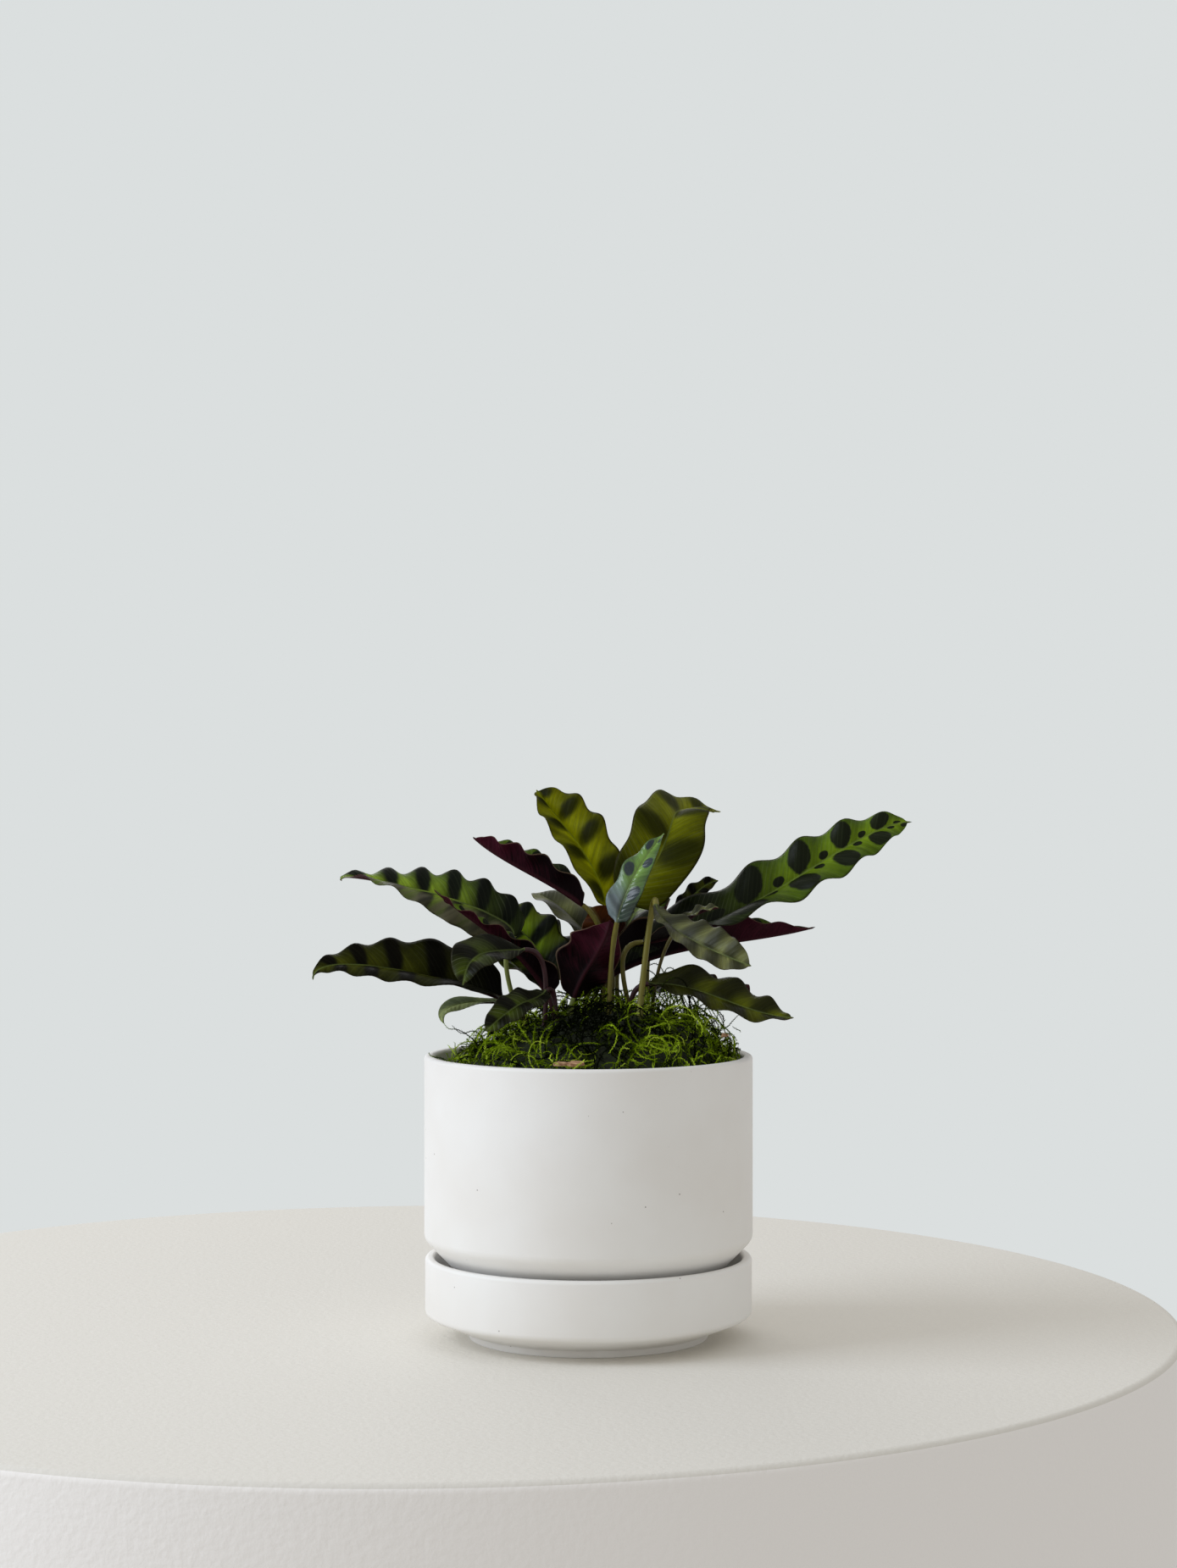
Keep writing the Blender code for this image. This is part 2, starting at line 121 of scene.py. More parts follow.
def add_node(tree, kind, *inputs, **settings):
    """Adds one node, applies its settings, then fills or links its inputs: in order, or by name from a dict.

    Inputs given in order go to the enabled sockets. A colour may be a hex code, and a node stands for its output.
    """
    kind, preset = KINDS.get(kind, (kind, {}))
    node = tree.nodes.new(kind)
    for name, value in {**preset, **settings}.items():
        setattr(node, name, value)
    shown = [socket for socket in node.inputs if socket.enabled]
    pairs = list(zip(shown, (i for i in inputs if not isinstance(i, dict))))
    for named in (i for i in inputs if isinstance(i, dict)):
        pairs += [(node.inputs[name], value) for name, value in named.items()]
    for socket, value in pairs:
        if isinstance(value, bpy.types.Node):
            value = next(out for out in value.outputs if out.enabled)
        if isinstance(value, bpy.types.NodeSocket):
            tree.links.new(value, socket)
        elif value is not None:
            if socket.type == "RGBA":
                value = (*(linear(value) if isinstance(value, str) else value), 1)
            socket.default_value = value
    return node


def new_tree(name, sockets, out_name):
    """An empty modifier tree with its named inputs. Gives the tree, the call that adds its nodes, and the inputs."""
    tree = bpy.data.node_groups.new(name, "GeometryNodeTree")
    tree.is_modifier = True
    for kind, group in sockets.items():
        for label, value in group.items():
            socket = tree.interface.new_socket(label, in_out="INPUT", socket_type="NodeSocket" + kind)
            if value is not None:
                socket.default_value = value
    tree.interface.new_socket(out_name, in_out="OUTPUT", socket_type="NodeSocketGeometry")
    return tree, partial(add_node, tree), tree.nodes.new("NodeGroupInput").outputs


def grown(name, tree, values, source=None):
    """Runs a tree on an object and keeps the result as a plain mesh object."""
    base = source or bpy.data.objects.new(name + "_seed", bpy.data.meshes.new(name))
    bpy.context.scene.collection.objects.link(base)
    modifier = base.modifiers.new("Grow", "NODES")
    modifier.node_group = tree
    for item in tree.interface.items_tree:
        if item.in_out == "INPUT" and item.name in values:
            modifier[item.identifier] = values[item.name]
    base.update_tag()
    graph = bpy.context.evaluated_depsgraph_get()
    mesh = bpy.data.meshes.new_from_object(base.evaluated_get(graph), depsgraph=graph)
    base.modifiers.remove(modifier)
    bpy.data.objects.remove(base, do_unlink=True)
    mesh.name = name
    obj = bpy.data.objects.new(name, mesh)
    bpy.context.scene.collection.objects.link(obj)
    return obj


def on_plant(obj, slot, *nodes):
    """Rides a finished piece on the one body, and hides the nodes that it stands for."""
    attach(obj, "root")
    if nodes:
        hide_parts(*nodes)


def face_outward(obj):
    """Turns every face of a closed mesh outward."""
    work = bmesh.new()
    work.from_mesh(obj.data)
    bmesh.ops.recalc_face_normals(work, faces=work.faces)
    work.to_mesh(obj.data)
    work.free()


def new_material(name):
    """An empty node material. Gives the material and the call that adds its nodes."""
    material = bpy.data.materials.new(name)
    material.use_nodes = True
    material.node_tree.nodes.clear()
    return material, partial(add_node, material.node_tree)


def dull_material(name, dark, light, scale, detail, relief, roughness, gloss=0.5, grit=None):
    """A dull, grainy surface. Light grains stand out more than dark ones; without a second colour all are alike.

    scale is how many grains a metre holds along X, Y and Z, relief the strength and depth of the bump, and grit the
    colour of pale bits strewn through it.
    """
    material, put = new_material(name)
    spot = put("ShaderNodeTexCoord").outputs["Object"]
    grain = put("NOISE", put("ShaderNodeMapping", spot, {"Scale": scale}), {"Scale": 1.0, "Detail": detail})
    colour = put("MIX", put("RANGE", grain, 0.35, 0.65), dark, light) if light else dark
    if grit:
        cells = put("ShaderNodeTexVoronoi", spot, {"Scale": 350.0})
        lot = put("ShaderNodeSeparateColor", cells.outputs["Color"]).outputs[0]
        colour = put("MIX", put("LESS_THAN", lot, 0.06), colour, grit)
    strength, distance = relief
    bump = put("BUMP", {"Strength": strength, "Distance": distance, "Height": grain})
    shader = put("PRINCIPLED", {"Base Color": colour, "Roughness": roughness, "Normal": bump,
                                "Specular IOR Level": gloss})
    put("ShaderNodeOutputMaterial", {"Surface": shader})
    return material


# ---------------------------------------------------------------- leaves

LEAVES = []


def leaf(name, root, blade, width, face, fold, waves=5, ruffle=2.0, shape=(0.5, 0.6), phase=0.0, stalk=1.1,
         crowd=1.2, lag=0.6, scallop=0.1, look="mature", stem="olive"):
    """Notes down one leaf: the same numbers as in the part's source, and the looks of its blade and petiole."""
    LEAVES.append(dict(name=name, root=(*root, ROOT_LEVEL), blade=blade, width=width, face=face, fold=fold,
                       waves=waves, ruffle=ruffle, shape=shape, phase=phase, stalk=stalk, crowd=crowd, lag=lag,
                       scallop=scallop, look=look, stem=stem))


leaf("leaf_01", (27, 7), [(23.6, 7, 181.9), (77.1, 14, 186.8), (127, 24, 239.4), (154.2, 38, 237.6)], 34.7,
     ((8, 0), (66, 0)), ((32, 2), (34, 2)), 5.0, 3.0, (0.27, 0.54), 0.13, crowd=1.7, lag=0.23, scallop=0.05)
leaf("leaf_02", (14, 12), [(17, 12, 198.6), (54.6, 12, 245), (24.8, 34, 246.1), (64.4, 66, 242.3)], 35.6,
     ((80, 0), (6, -70)), ((4, 46), (2, 2)), 3.95, 1.1, (0.44, 0.78), 0.25,
     crowd=1.48, lag=0.33, scallop=0.06, look="backlit")
leaf("leaf_03", (4, 24.3), [(9, 23.5, 197), (3, 22, 223), (-12, 37, 234), (-25, 46, 253)], 32,
     ((79, 0), (73, 0)), ((50, 64), (8, 16)), 4, 1.6, (0.6, 0.5), look="young")
leaf("leaf_04", (9, -14), [(13, -16, 192), (16, -22, 207), (24, -14, 221), (35, -6, 233)], 15,
     ((79, -17), (74, -17)), ((8, 8), (8, 8)), 3, 1.2, (0.4, 0.85), look="glossy")
leaf("leaf_05", (2, 5), [(-2, 2, 199), (-18, 2, 212), (-39, 8, 218), (-54, 10, 231)], 21,
     ((0, 0), (-5, 0)), ((72, 60), (72, 60)), 4, 1.6)
leaf("leaf_06", (-24, 5), [(-35.2, 4, 184.3), (-26.6, 1, 196.8), (-122.4, -5, 219.9), (-113.3, -11, 211)],
     27.8, ((80, 0), (-7, 0)), ((2, 2), (2, 23)), 6.53, 1.4, (0.38, 0.62), 0.64,
     crowd=0.9, lag=0.82, look="sheen-painted", stem="pale")
leaf("leaf_07", (-17, -8), [(-18, -10, 157), (-29, -15, 181), (-52, -24, 191), (-70, -31, 208)], 19,
     ((-4, 0), (8, 0)), ((60, 16), (66, 16)), 5, 1.4, (0.35, 1.3), stem="wine")
leaf("leaf_08", (-23, -16), [(-28.7, -26, 180.3), (-47.9, -37, 180.5), (-53.9, -56, 181.9),
     (-55.8, -59, 166.2)], 21.9, ((28, 0), (80, -20)), ((7, 4), (18, 22)), 2.24, 1.1, (0.93, 0.72), 0.73,
     crowd=1.7, lag=0.46, scallop=0.05, look="veined", stem="wine")
leaf("leaf_09", (-25, -5), [(-38.4, -9, 156.5), (-66.5, -13, 167.3), (-126.4, -33, 183.1),
     (-124.2, -38, 167.1)], 37.9, ((35, 0), (40, 0)), ((46, 2), (32, 2)), 4.95, 1.1, (0.5, 0.93), 0.68,
     crowd=1.64, lag=0.72, scallop=0.05, look="dark", stem="wine")
leaf("leaf_10", (-29, 10), [(-36.6, 10, 153.9), (-44.6, 11, 154.2), (-72.7, 0, 156.3), (-67.1, -2, 144.7)], 8.8,
     ((38, 0), (62, -60)), ((15, 6), (13, 3)), 1.16, 1.7, (0.59, 0.53), 0.12,
     crowd=1.01, lag=0.52, scallop=0.05, look="pale", stem="pale")
leaf("leaf_11", (-15, -21), [(-19.3, -22, 161.3), (-27.1, -35, 155.2), (-27.1, -48, 163),
     (-45.8, -58, 145.8)], 15.5, ((38, 0), (68, -30)), ((2, 2), (23, 38)), 2.89, 1.1, (0.46, 0.43), 0.31,
     crowd=1.7, lag=0.62, scallop=0.05, look="veined", stem="wine")
leaf("leaf_12", (-2, 21), [(1.4, 26, 180.6), (-2.8, 31.5, 188), (-17.4, 44, 203), (-27.6, 54, 202.9)], 31.7,
     ((-5, 0), (7, 0)), ((19, 8), (15, 12)), 2.43, 1.1, (0.26, 0.71), 0.96,
     crowd=0.8, lag=0.45, scallop=0.05, look="grey-sheen-painted")
leaf("leaf_13", (-16, 10), [(-17, 12, 161), (-20, 18, 177), (-32, 21, 189), (-46, 24, 197)], 30,
     ((60, 0), (50, 0)), ((20, 8), (25, 8)), 4, 1.7, look="bright")
leaf("leaf_14", (3.5, 15.5), [(3, 16, 161), (33, 27, 182), (70, 40, 178), (109, 50, 187)], 38,
     ((0, 0), (-5, 0)), ((84, 60), (84, 56)), 4.7, 1.3, (0.42, 1.0), lag=0.55)
leaf("leaf_15", (-8, -10), [(-7, -13, 157), (-3, -13, 171), (8, -9, 179), (10, -5, 193)], 31,
     ((-73, 0), (-73, 0)), ((36, 26), (8, 10)), 3, 2.0, (0.7, 0.75), stem="pale")
leaf("leaf_16", (8.3, 4.4), [(8.3, 4.8, 182.1), (6.3, 5.6, 188.1), (4.3, 7.4, 193.2), (1.3, 10.1, 198.2)], 24,
     ((-73, 0), (-73, 0)), ((30, 20), (30, 20)), 2, 1.0, look="rust")
leaf("leaf_17", (21, -22), [(30.7, -24, 200.7), (30.8, -37, 191.9), (50.6, -52, 182.7), (72, -64, 175.2)],
     21.7, ((12, 0), (56, 0)), ((4, 46), (46, 2)), 4.79, 1.1, (0.67, 0.5), 0.57,
     stalk=1.35, crowd=1.24, lag=0.55, scallop=0.05, look="grey-sheen-painted")
leaf("leaf_18", (22, -8), [(27, -9, 163.5), (51, -14, 166), (70, -25, 150), (93, -33, 150)], 24,
     ((36, 0), (36, 0)), ((22, 4), (28, 10)), 3.5, 1.8, phase=0.78, look="olive", stem="wine")
leaf("leaf_19", (30.6, 20.3), [(40.8, 37, 195.4), (49, 38, 199.6), (53, 42.1, 208.3), (62.1, 44, 209.5)],
     10, ((50, 0), (50, 0)), ((10, 10), (10, 10)), 3, 0.8, stalk=0.8, look="dark")
leaf("leaf_20", (28.4, 0.9), [(41.8, -7.7, 190), (46.8, -9.6, 196), (52.8, -11.5, 198), (59.8, -12.4, 199)],
     9, ((20, 0), (20, 0)), ((20, 20), (20, 20)), 3, 0.8, stalk=0.8, look="grey-sheen-painted")
leaf("leaf_21", (17, 19), [(14, 29, 172), (18, 46, 192), (27, 74, 204), (34, 96, 190)], 30,
     ((10, 0), (0, 0)), ((14, 10), (14, 10)), 5, 2.0)
leaf("leaf_22", (-6, 15), [(-10, 26, 166), (-22, 42, 186), (-38, 66, 194), (-54, 84, 184)], 28,
     ((8, 0), (0, 0)), ((16, 10), (16, 10)), 5, 2.0, look="bright")
leaf("leaf_23", (22, 22), [(26, 30, 154), (40, 40, 164), (60, 62, 162), (82, 78, 150)], 26,
     ((0, 0), (0, 0)), ((14, 8), (14, 8)), 5, 1.8)
leaf("leaf_24", (3, 29), [(3, 36, 156), (0, 56, 170), (-6, 86, 170), (-10, 108, 156)], 28,
     ((0, 0), (0, 0)), ((14, 8), (14, 8)), 5, 1.9)
leaf("leaf_25", (-15, 17), [(-22, 25, 160), (-35, 38, 173), (-52, 58, 175), (-66, 74, 168)], 24,
     ((0, 0), (0, 0)), ((14, 8), (14, 8)), 5, 1.7, look="bright")

LEAF_SOCKETS = {
    "Vector": dict.fromkeys(("Foot", "Foot pull", "Neck pull", "Base", "Base pull", "Tip pull", "Tip",
                             "Face at base", "Face at tip")),
    "Float": dict.fromkeys(("Left fold at base", "Left fold at tip", "Right fold at base", "Right fold at tip",
                            "Width", "Rise", "Fall", "Outline peak", "Waves", "Ruffle", "Phase", "Crowding",
                            "Right lag", "Scallop", "Petiole radius", "Thickness", "Rib depth", "Vein spacing",
                            "Vein relief", "Pucker", "Seed")),
    "Int": dict.fromkeys(("Rings", "Points around")),
    "Material": dict.fromkeys(("Upper side", "Underside", "Petiole")),
}
# The share of the rows of points that the petiole takes, and how far the side veins run back for each step outward.
PETIOLE_SHARE, VEIN_SLANT = 0.16, -0.8


def leaf_tree():
    """One loft from the petiole's foot to the blade's tip, over a flat grid whose rows run along the leaf.

    Row place p gives k, 0 to 1 up the petiole, and x, 0 to 1 along the blade. Column place u gives v, which runs
    from the left margin (-1) to the right (1) on the upper side and back again underneath.
    """
    tree, put, given = new_tree("Leaf on a petiole", LEAF_SOCKETS, "Leaf")

    def square_to(way, vector):
        """What is left of a direction across another one."""
        return put("V_NORMALIZE", put("V_SUBTRACT", vector, put("V_PROJECT", vector, way)))

    grid = put("GeometryNodeMeshGrid", 1.0, 1.0, given["Rings"], given["Points around"])
    place = put("SEPARATE", put("GeometryNodeInputPosition")).outputs
    p = put("ADD", place[0], 0.5)
    k = put("RANGE", p, 0.0, PETIOLE_SHARE)
    x = put("RANGE", p, PETIOLE_SHARE, 1.0)
    on_blade = put("COMPARE", p, PETIOLE_SHARE, operation="GREATER_THAN")
    below = put("COMPARE", place[1], 0.0, operation="GREATER_THAN")
    w = put("MULTIPLY_ADD", put("ABSOLUTE", place[1]), -4.0, 1.0)
    way = put("SIGN", w)
    a = put("POWER", put("ABSOLUTE", w), 1.25)
    v = put("MULTIPLY", a, way)
    on_right = put("COMPARE", w, 0.0, operation="GREATER_THAN")

    # The midrib and the petiole, sampled by length, and the frame along each: direction, normal and side.
    blade = put("GeometryNodeCurvePrimitiveBezierSegment", 200, given["Base"], given["Base pull"], given["Tip pull"],
                given["Tip"])
    stalk = put("GeometryNodeCurvePrimitiveBezierSegment", 64, given["Foot"], given["Foot pull"], given["Neck pull"],
                given["Base"])
    length = put("GeometryNodeCurveLength", blade)
    on_rib = put("GeometryNodeSampleCurve", blade, {"Factor": x}, mode="FACTOR").outputs
    on_stalk = put("GeometryNodeSampleCurve", stalk, {"Factor": k}, mode="FACTOR").outputs
    rib_way = on_rib["Tangent"]
    face = put("MIX_VECTOR", x, given["Face at base"], given["Face at tip"])
    blade_normal = square_to(rib_way, face)
    blade_side = put("V_CROSS_PRODUCT", rib_way, blade_normal)
    first_way = put("V_NORMALIZE", put("V_SUBTRACT", given["Base pull"], given["Base"]))
    first_side = put("V_CROSS_PRODUCT", first_way, square_to(first_way, given["Face at base"]))
    stalk_way = on_stalk["Tangent"]
    stalk_side = square_to(stalk_way, first_side)
    stalk_normal = put("V_CROSS_PRODUCT", stalk_side, stalk_way)
    point = put("PICK_VECTOR", on_blade, on_stalk["Position"], on_rib["Position"])
    normal = put("PICK_VECTOR", on_blade, stalk_normal, blade_normal)
    side = put("PICK_VECTOR", on_blade, stalk_side, blade_side)

    # The round section: a sheath low down, a slight swelling where the blade hinges, thinner along the midrib.
    sheath = put("SMOOTH", k, 0.65, 0.15, 1.0, 1.5)
    swell_in = put("SMOOTH", k, 0.84, 0.9, 0.0, 0.16)
    swell_out = put("SMOOTH", k, 0.94, 1.0, 1.0, 0.0)
    along_stalk = put("MULTIPLY_ADD", swell_in, swell_out, sheath)
    along_rib = put("MULTIPLY_ADD", x, -0.4, 1.0)
    girth = put("PICK", on_blade, along_stalk, along_rib)
    open_foot = put("RANGE", p, 0.0, 0.001)
    radius = put("MULTIPLY", put("MULTIPLY", girth, open_foot), given["Petiole radius"])
    half_turn = put("MULTIPLY", put("MULTIPLY_ADD", w, -0.5, 0.5), math.pi)
    over = put("PICK", below, 1.0, -1.0)
    ring_side = put("V_SCALE", side, put("COSINE", half_turn))
    ring_up = put("V_SCALE", normal, put("MULTIPLY", put("SINE", half_turn), over))
    spoke = put("V_SCALE", put("V_ADD", ring_side, ring_up), radius)
    ring = put("V_ADD", point, spoke)

    # The blade's half width.
    t = put("MINIMUM", put("DIVIDE", x, 0.98), 1.0)
    swelling = put("POWER", t, given["Rise"])
    closing = put("POWER", put("SUBTRACT", 1.0, t), given["Fall"])
    outline = put("DIVIDE", put("MULTIPLY", swelling, closing), given["Outline peak"])
    half_width = put("MULTIPLY", given["Width"], 0.5)
    blunt = put("MAXIMUM", put("MULTIPLY", outline, half_width), 0.0004)
    tip = put("RANGE", x, 1.0, 0.988)
    half = put("MULTIPLY", blunt, tip)

    # Folded halves, waves that grow towards the margin, and fine relief.
    ends = put("MULTIPLY", put("SMOOTH", x, 0.0, 0.12), put("SMOOTH", x, 1.0, 0.88))
    run = put("MULTIPLY_ADD", put("POWER", x, given["Crowding"]), given["Waves"], given["Phase"])
    shifted = put("MULTIPLY_ADD", on_right, given["Right lag"], run)
    turn = put("MULTIPLY_ADD", a, -0.2, shifted)
    wave = put("SINE", put("MULTIPLY", turn, math.tau))
    fold_base = put("PICK", on_right, given["Left fold at base"], given["Right fold at base"])
    fold_tip = put("PICK", on_right, given["Left fold at tip"], given["Right fold at tip"])
    crease = put("SMOOTH", a, 0.0, 0.1)
    fold = put("MULTIPLY", put("RANGE", x, 0.0, 1.0, fold_base, fold_tip), crease)
    cosine, sine = put("COSINE", fold), put("SINE", fold)
    out = put("V_ADD", put("V_SCALE", side, put("MULTIPLY", cosine, way)), put("V_SCALE", normal, sine))
    up = put("V_SUBTRACT", put("V_SCALE", normal, cosine), put("V_SCALE", side, put("MULTIPLY", sine, way)))
    ruffle = put("MULTIPLY", put("MULTIPLY", given["Ruffle"], wave), put("POWER", a, 1.4))
    crown = put("MULTIPLY", put("SUBTRACT", a, put("MULTIPLY", a, a)), half)
    waved = put("MULTIPLY_ADD", crown, 0.4, ruffle)
    reach_wave = put("MULTIPLY_ADD", put("MULTIPLY", ends, wave), given["Scallop"], 1.0)
    width_here = put("MULTIPLY", half, a)
    reach = put("MULTIPLY", width_here, reach_wave)
    distance = put("MULTIPLY", x, length)
    slant = put("MULTIPLY_ADD", width_here, VEIN_SLANT, distance)
    vein = put("COSINE", put("MULTIPLY", put("DIVIDE", slant, given["Vein spacing"]), math.tau))
    from_rib = put("SMOOTH", a, 0.03, 0.2)
    to_margin = put("RANGE", a, 1.0, 0.8, 0.3, 1.0)
    veins = put("MULTIPLY", put("MULTIPLY", vein, given["Vein relief"]), put("MULTIPLY", from_rib, to_margin))
    millimetres = put("COMBINE", put("MULTIPLY", distance, 1000.0),
                      put("MULTIPLY", put("MULTIPLY", width_here, way), 1000.0), given["Seed"])
    noise = put("NOISE", millimetres, 0.11, 1.0)
    pucker = put("MULTIPLY", put("MULTIPLY", put("SUBTRACT", noise, 0.5), given["Pucker"]), a)
    groove_place = put("POWER", put("DIVIDE", width_here, 0.0007), 2.0)
    groove = put("MULTIPLY", put("EXPONENT", put("MULTIPLY", groove_place, -1.0)), -0.00015)
    fine = put("ADD", put("ADD", veins, pucker), groove)
    lift = put("MULTIPLY", put("ADD", waved, fine), ends)
    upper = put("V_ADD", put("V_ADD", point, put("V_SCALE", out, reach)), put("V_SCALE", up, lift))

    # The underside: thin flesh that closes at the margin, and a rounded rib that fades towards the tip.
    rim = put("POWER", put("SUBTRACT", 1.0, put("POWER", a, 6.0)), 0.5)
    flesh = put("MULTIPLY", put("MULTIPLY", given["Thickness"], rim), tip)
    rib_place = put("POWER", put("DIVIDE", width_here, 0.0009), 2.0)
    rib_round = put("EXPONENT", put("MULTIPLY", rib_place, -1.0))
    rib_fade = put("MULTIPLY", put("MULTIPLY_ADD", x, -0.95, 1.0), given["Rib depth"])
    deep = put("MULTIPLY_ADD", rib_round, rib_fade, flesh)
    down = put("PICK", below, 0.0, deep)
    section = put("V_SUBTRACT", upper, put("V_SCALE", up, down))

    opening = put("MULTIPLY", put("SMOOTH", x, 0.0, 0.06), on_blade)
    shape = put("MIX_VECTOR", opening, ring, section)

    # What the materials read: place along and across, the turn of the wave, and the same in millimetres.
    signed = put("PICK", on_blade, put("SUBTRACT", k, 1.0), x)
    in_wave = put("COMBINE", signed, v, turn)
    on_petiole = put("COMPARE", p, PETIOLE_SHARE + 0.012, operation="LESS_THAN")
    for label, value, kind, domain in (
            ("leaf_place", in_wave, "FLOAT_VECTOR", "POINT"), ("leaf_mm", millimetres, "FLOAT_VECTOR", "POINT"),
            ("underside", below, "BOOLEAN", "FACE"), ("petiole", on_petiole, "BOOLEAN", "FACE")):
        grid = put("STORE", grid, True, label, value, data_type=kind, domain=domain)
    placed = put("GeometryNodeSetPosition", grid, True, shape)
    merged = put("GeometryNodeMergeByDistance", placed, True, 0.000004)
    rounded = put("GeometryNodeSetShadeSmooth", put("GeometryNodeFlipFaces", merged), True, True)
    real = put("GeometryNodeRealizeInstances", rounded)
    finish = put("SET_MATERIAL", real, True, given["Upper side"])
    for label in ("Underside", "Petiole"):
        chosen = put("GeometryNodeInputNamedAttribute", label.lower(), data_type="BOOLEAN")
        finish = put("SET_MATERIAL", finish, chosen, given[label])
    put("NodeGroupOutput", finish)
    return tree


def facing(roll, turn):
    """Upward, rolled towards the front by one angle and then turned about Z by the other, in degrees."""
    r, q = math.radians(roll), math.radians(turn)
    return Vector((math.sin(r) * math.sin(q), -math.sin(r) * math.cos(q), math.cos(r)))


def leaf_values(item, number, sizes, materials):
    """The tree's inputs for one leaf."""
    foot, base = Vector(item["root"]), Vector(item["blade"][0])
    ahead = (Vector(item["blade"][1]) - base).normalized()
    rise = (base - foot).length
    points = {"Foot": foot, "Foot pull": foot + Vector((0, 0, FOOT_PULL * rise)),
              "Neck pull": base - ahead * NECK_PULL * rise}
    points.update(zip(("Base", "Base pull", "Tip pull", "Tip"), map(Vector, item["blade"])))
    values = {name: tuple(point * MM) for name, point in points.items()}
    values["Face at base"], values["Face at tip"] = (tuple(facing(*f)) for f in item["face"])
    for half, (low, high) in zip(("Left", "Right"), item["fold"]):
        values[half + " fold at base"], values[half + " fold at tip"] = math.radians(low), math.radians(high)
    for label in ("Thickness", "Rib depth", "Vein spacing", "Vein relief", "Pucker", "Rings", "Points around"):
        values[label] = getattr(sizes, label.lower().replace(" ", "_"))
    grow, fall = item["shape"]
    upper, under = materials[item["look"]]
    values.update({
        "Width": item["width"] * MM, "Rise": float(grow), "Fall": float(fall),
        "Outline peak": (grow / (grow + fall)) ** grow * (fall / (grow + fall)) ** fall,
        "Waves": float(item["waves"]), "Ruffle": item["ruffle"] * MM, "Phase": float(item["phase"]),
        "Crowding": item["crowd"], "Right lag": item["lag"], "Scallop": item["scallop"],
        "Petiole radius": item["stalk"] * MM, "Seed": 17.0 * number,
        "Upper side": upper, "Underside": under, "Petiole": materials[item["stem"] + " stem"],
    })
    return values


def leaf_coordinates(put):
    """Where a point of a leaf is: x along, v across and its turn of the wave, then the same two in millimetres.

    The leaf's seed follows, and last those two and the seed as one vector.
    """
    place, spot = (put("ShaderNodeAttribute", attribute_name=name).outputs["Vector"]
                   for name in ("leaf_place", "leaf_mm"))
    return (*put("SEPARATE", place).outputs, *put("SEPARATE", spot).outputs, spot)


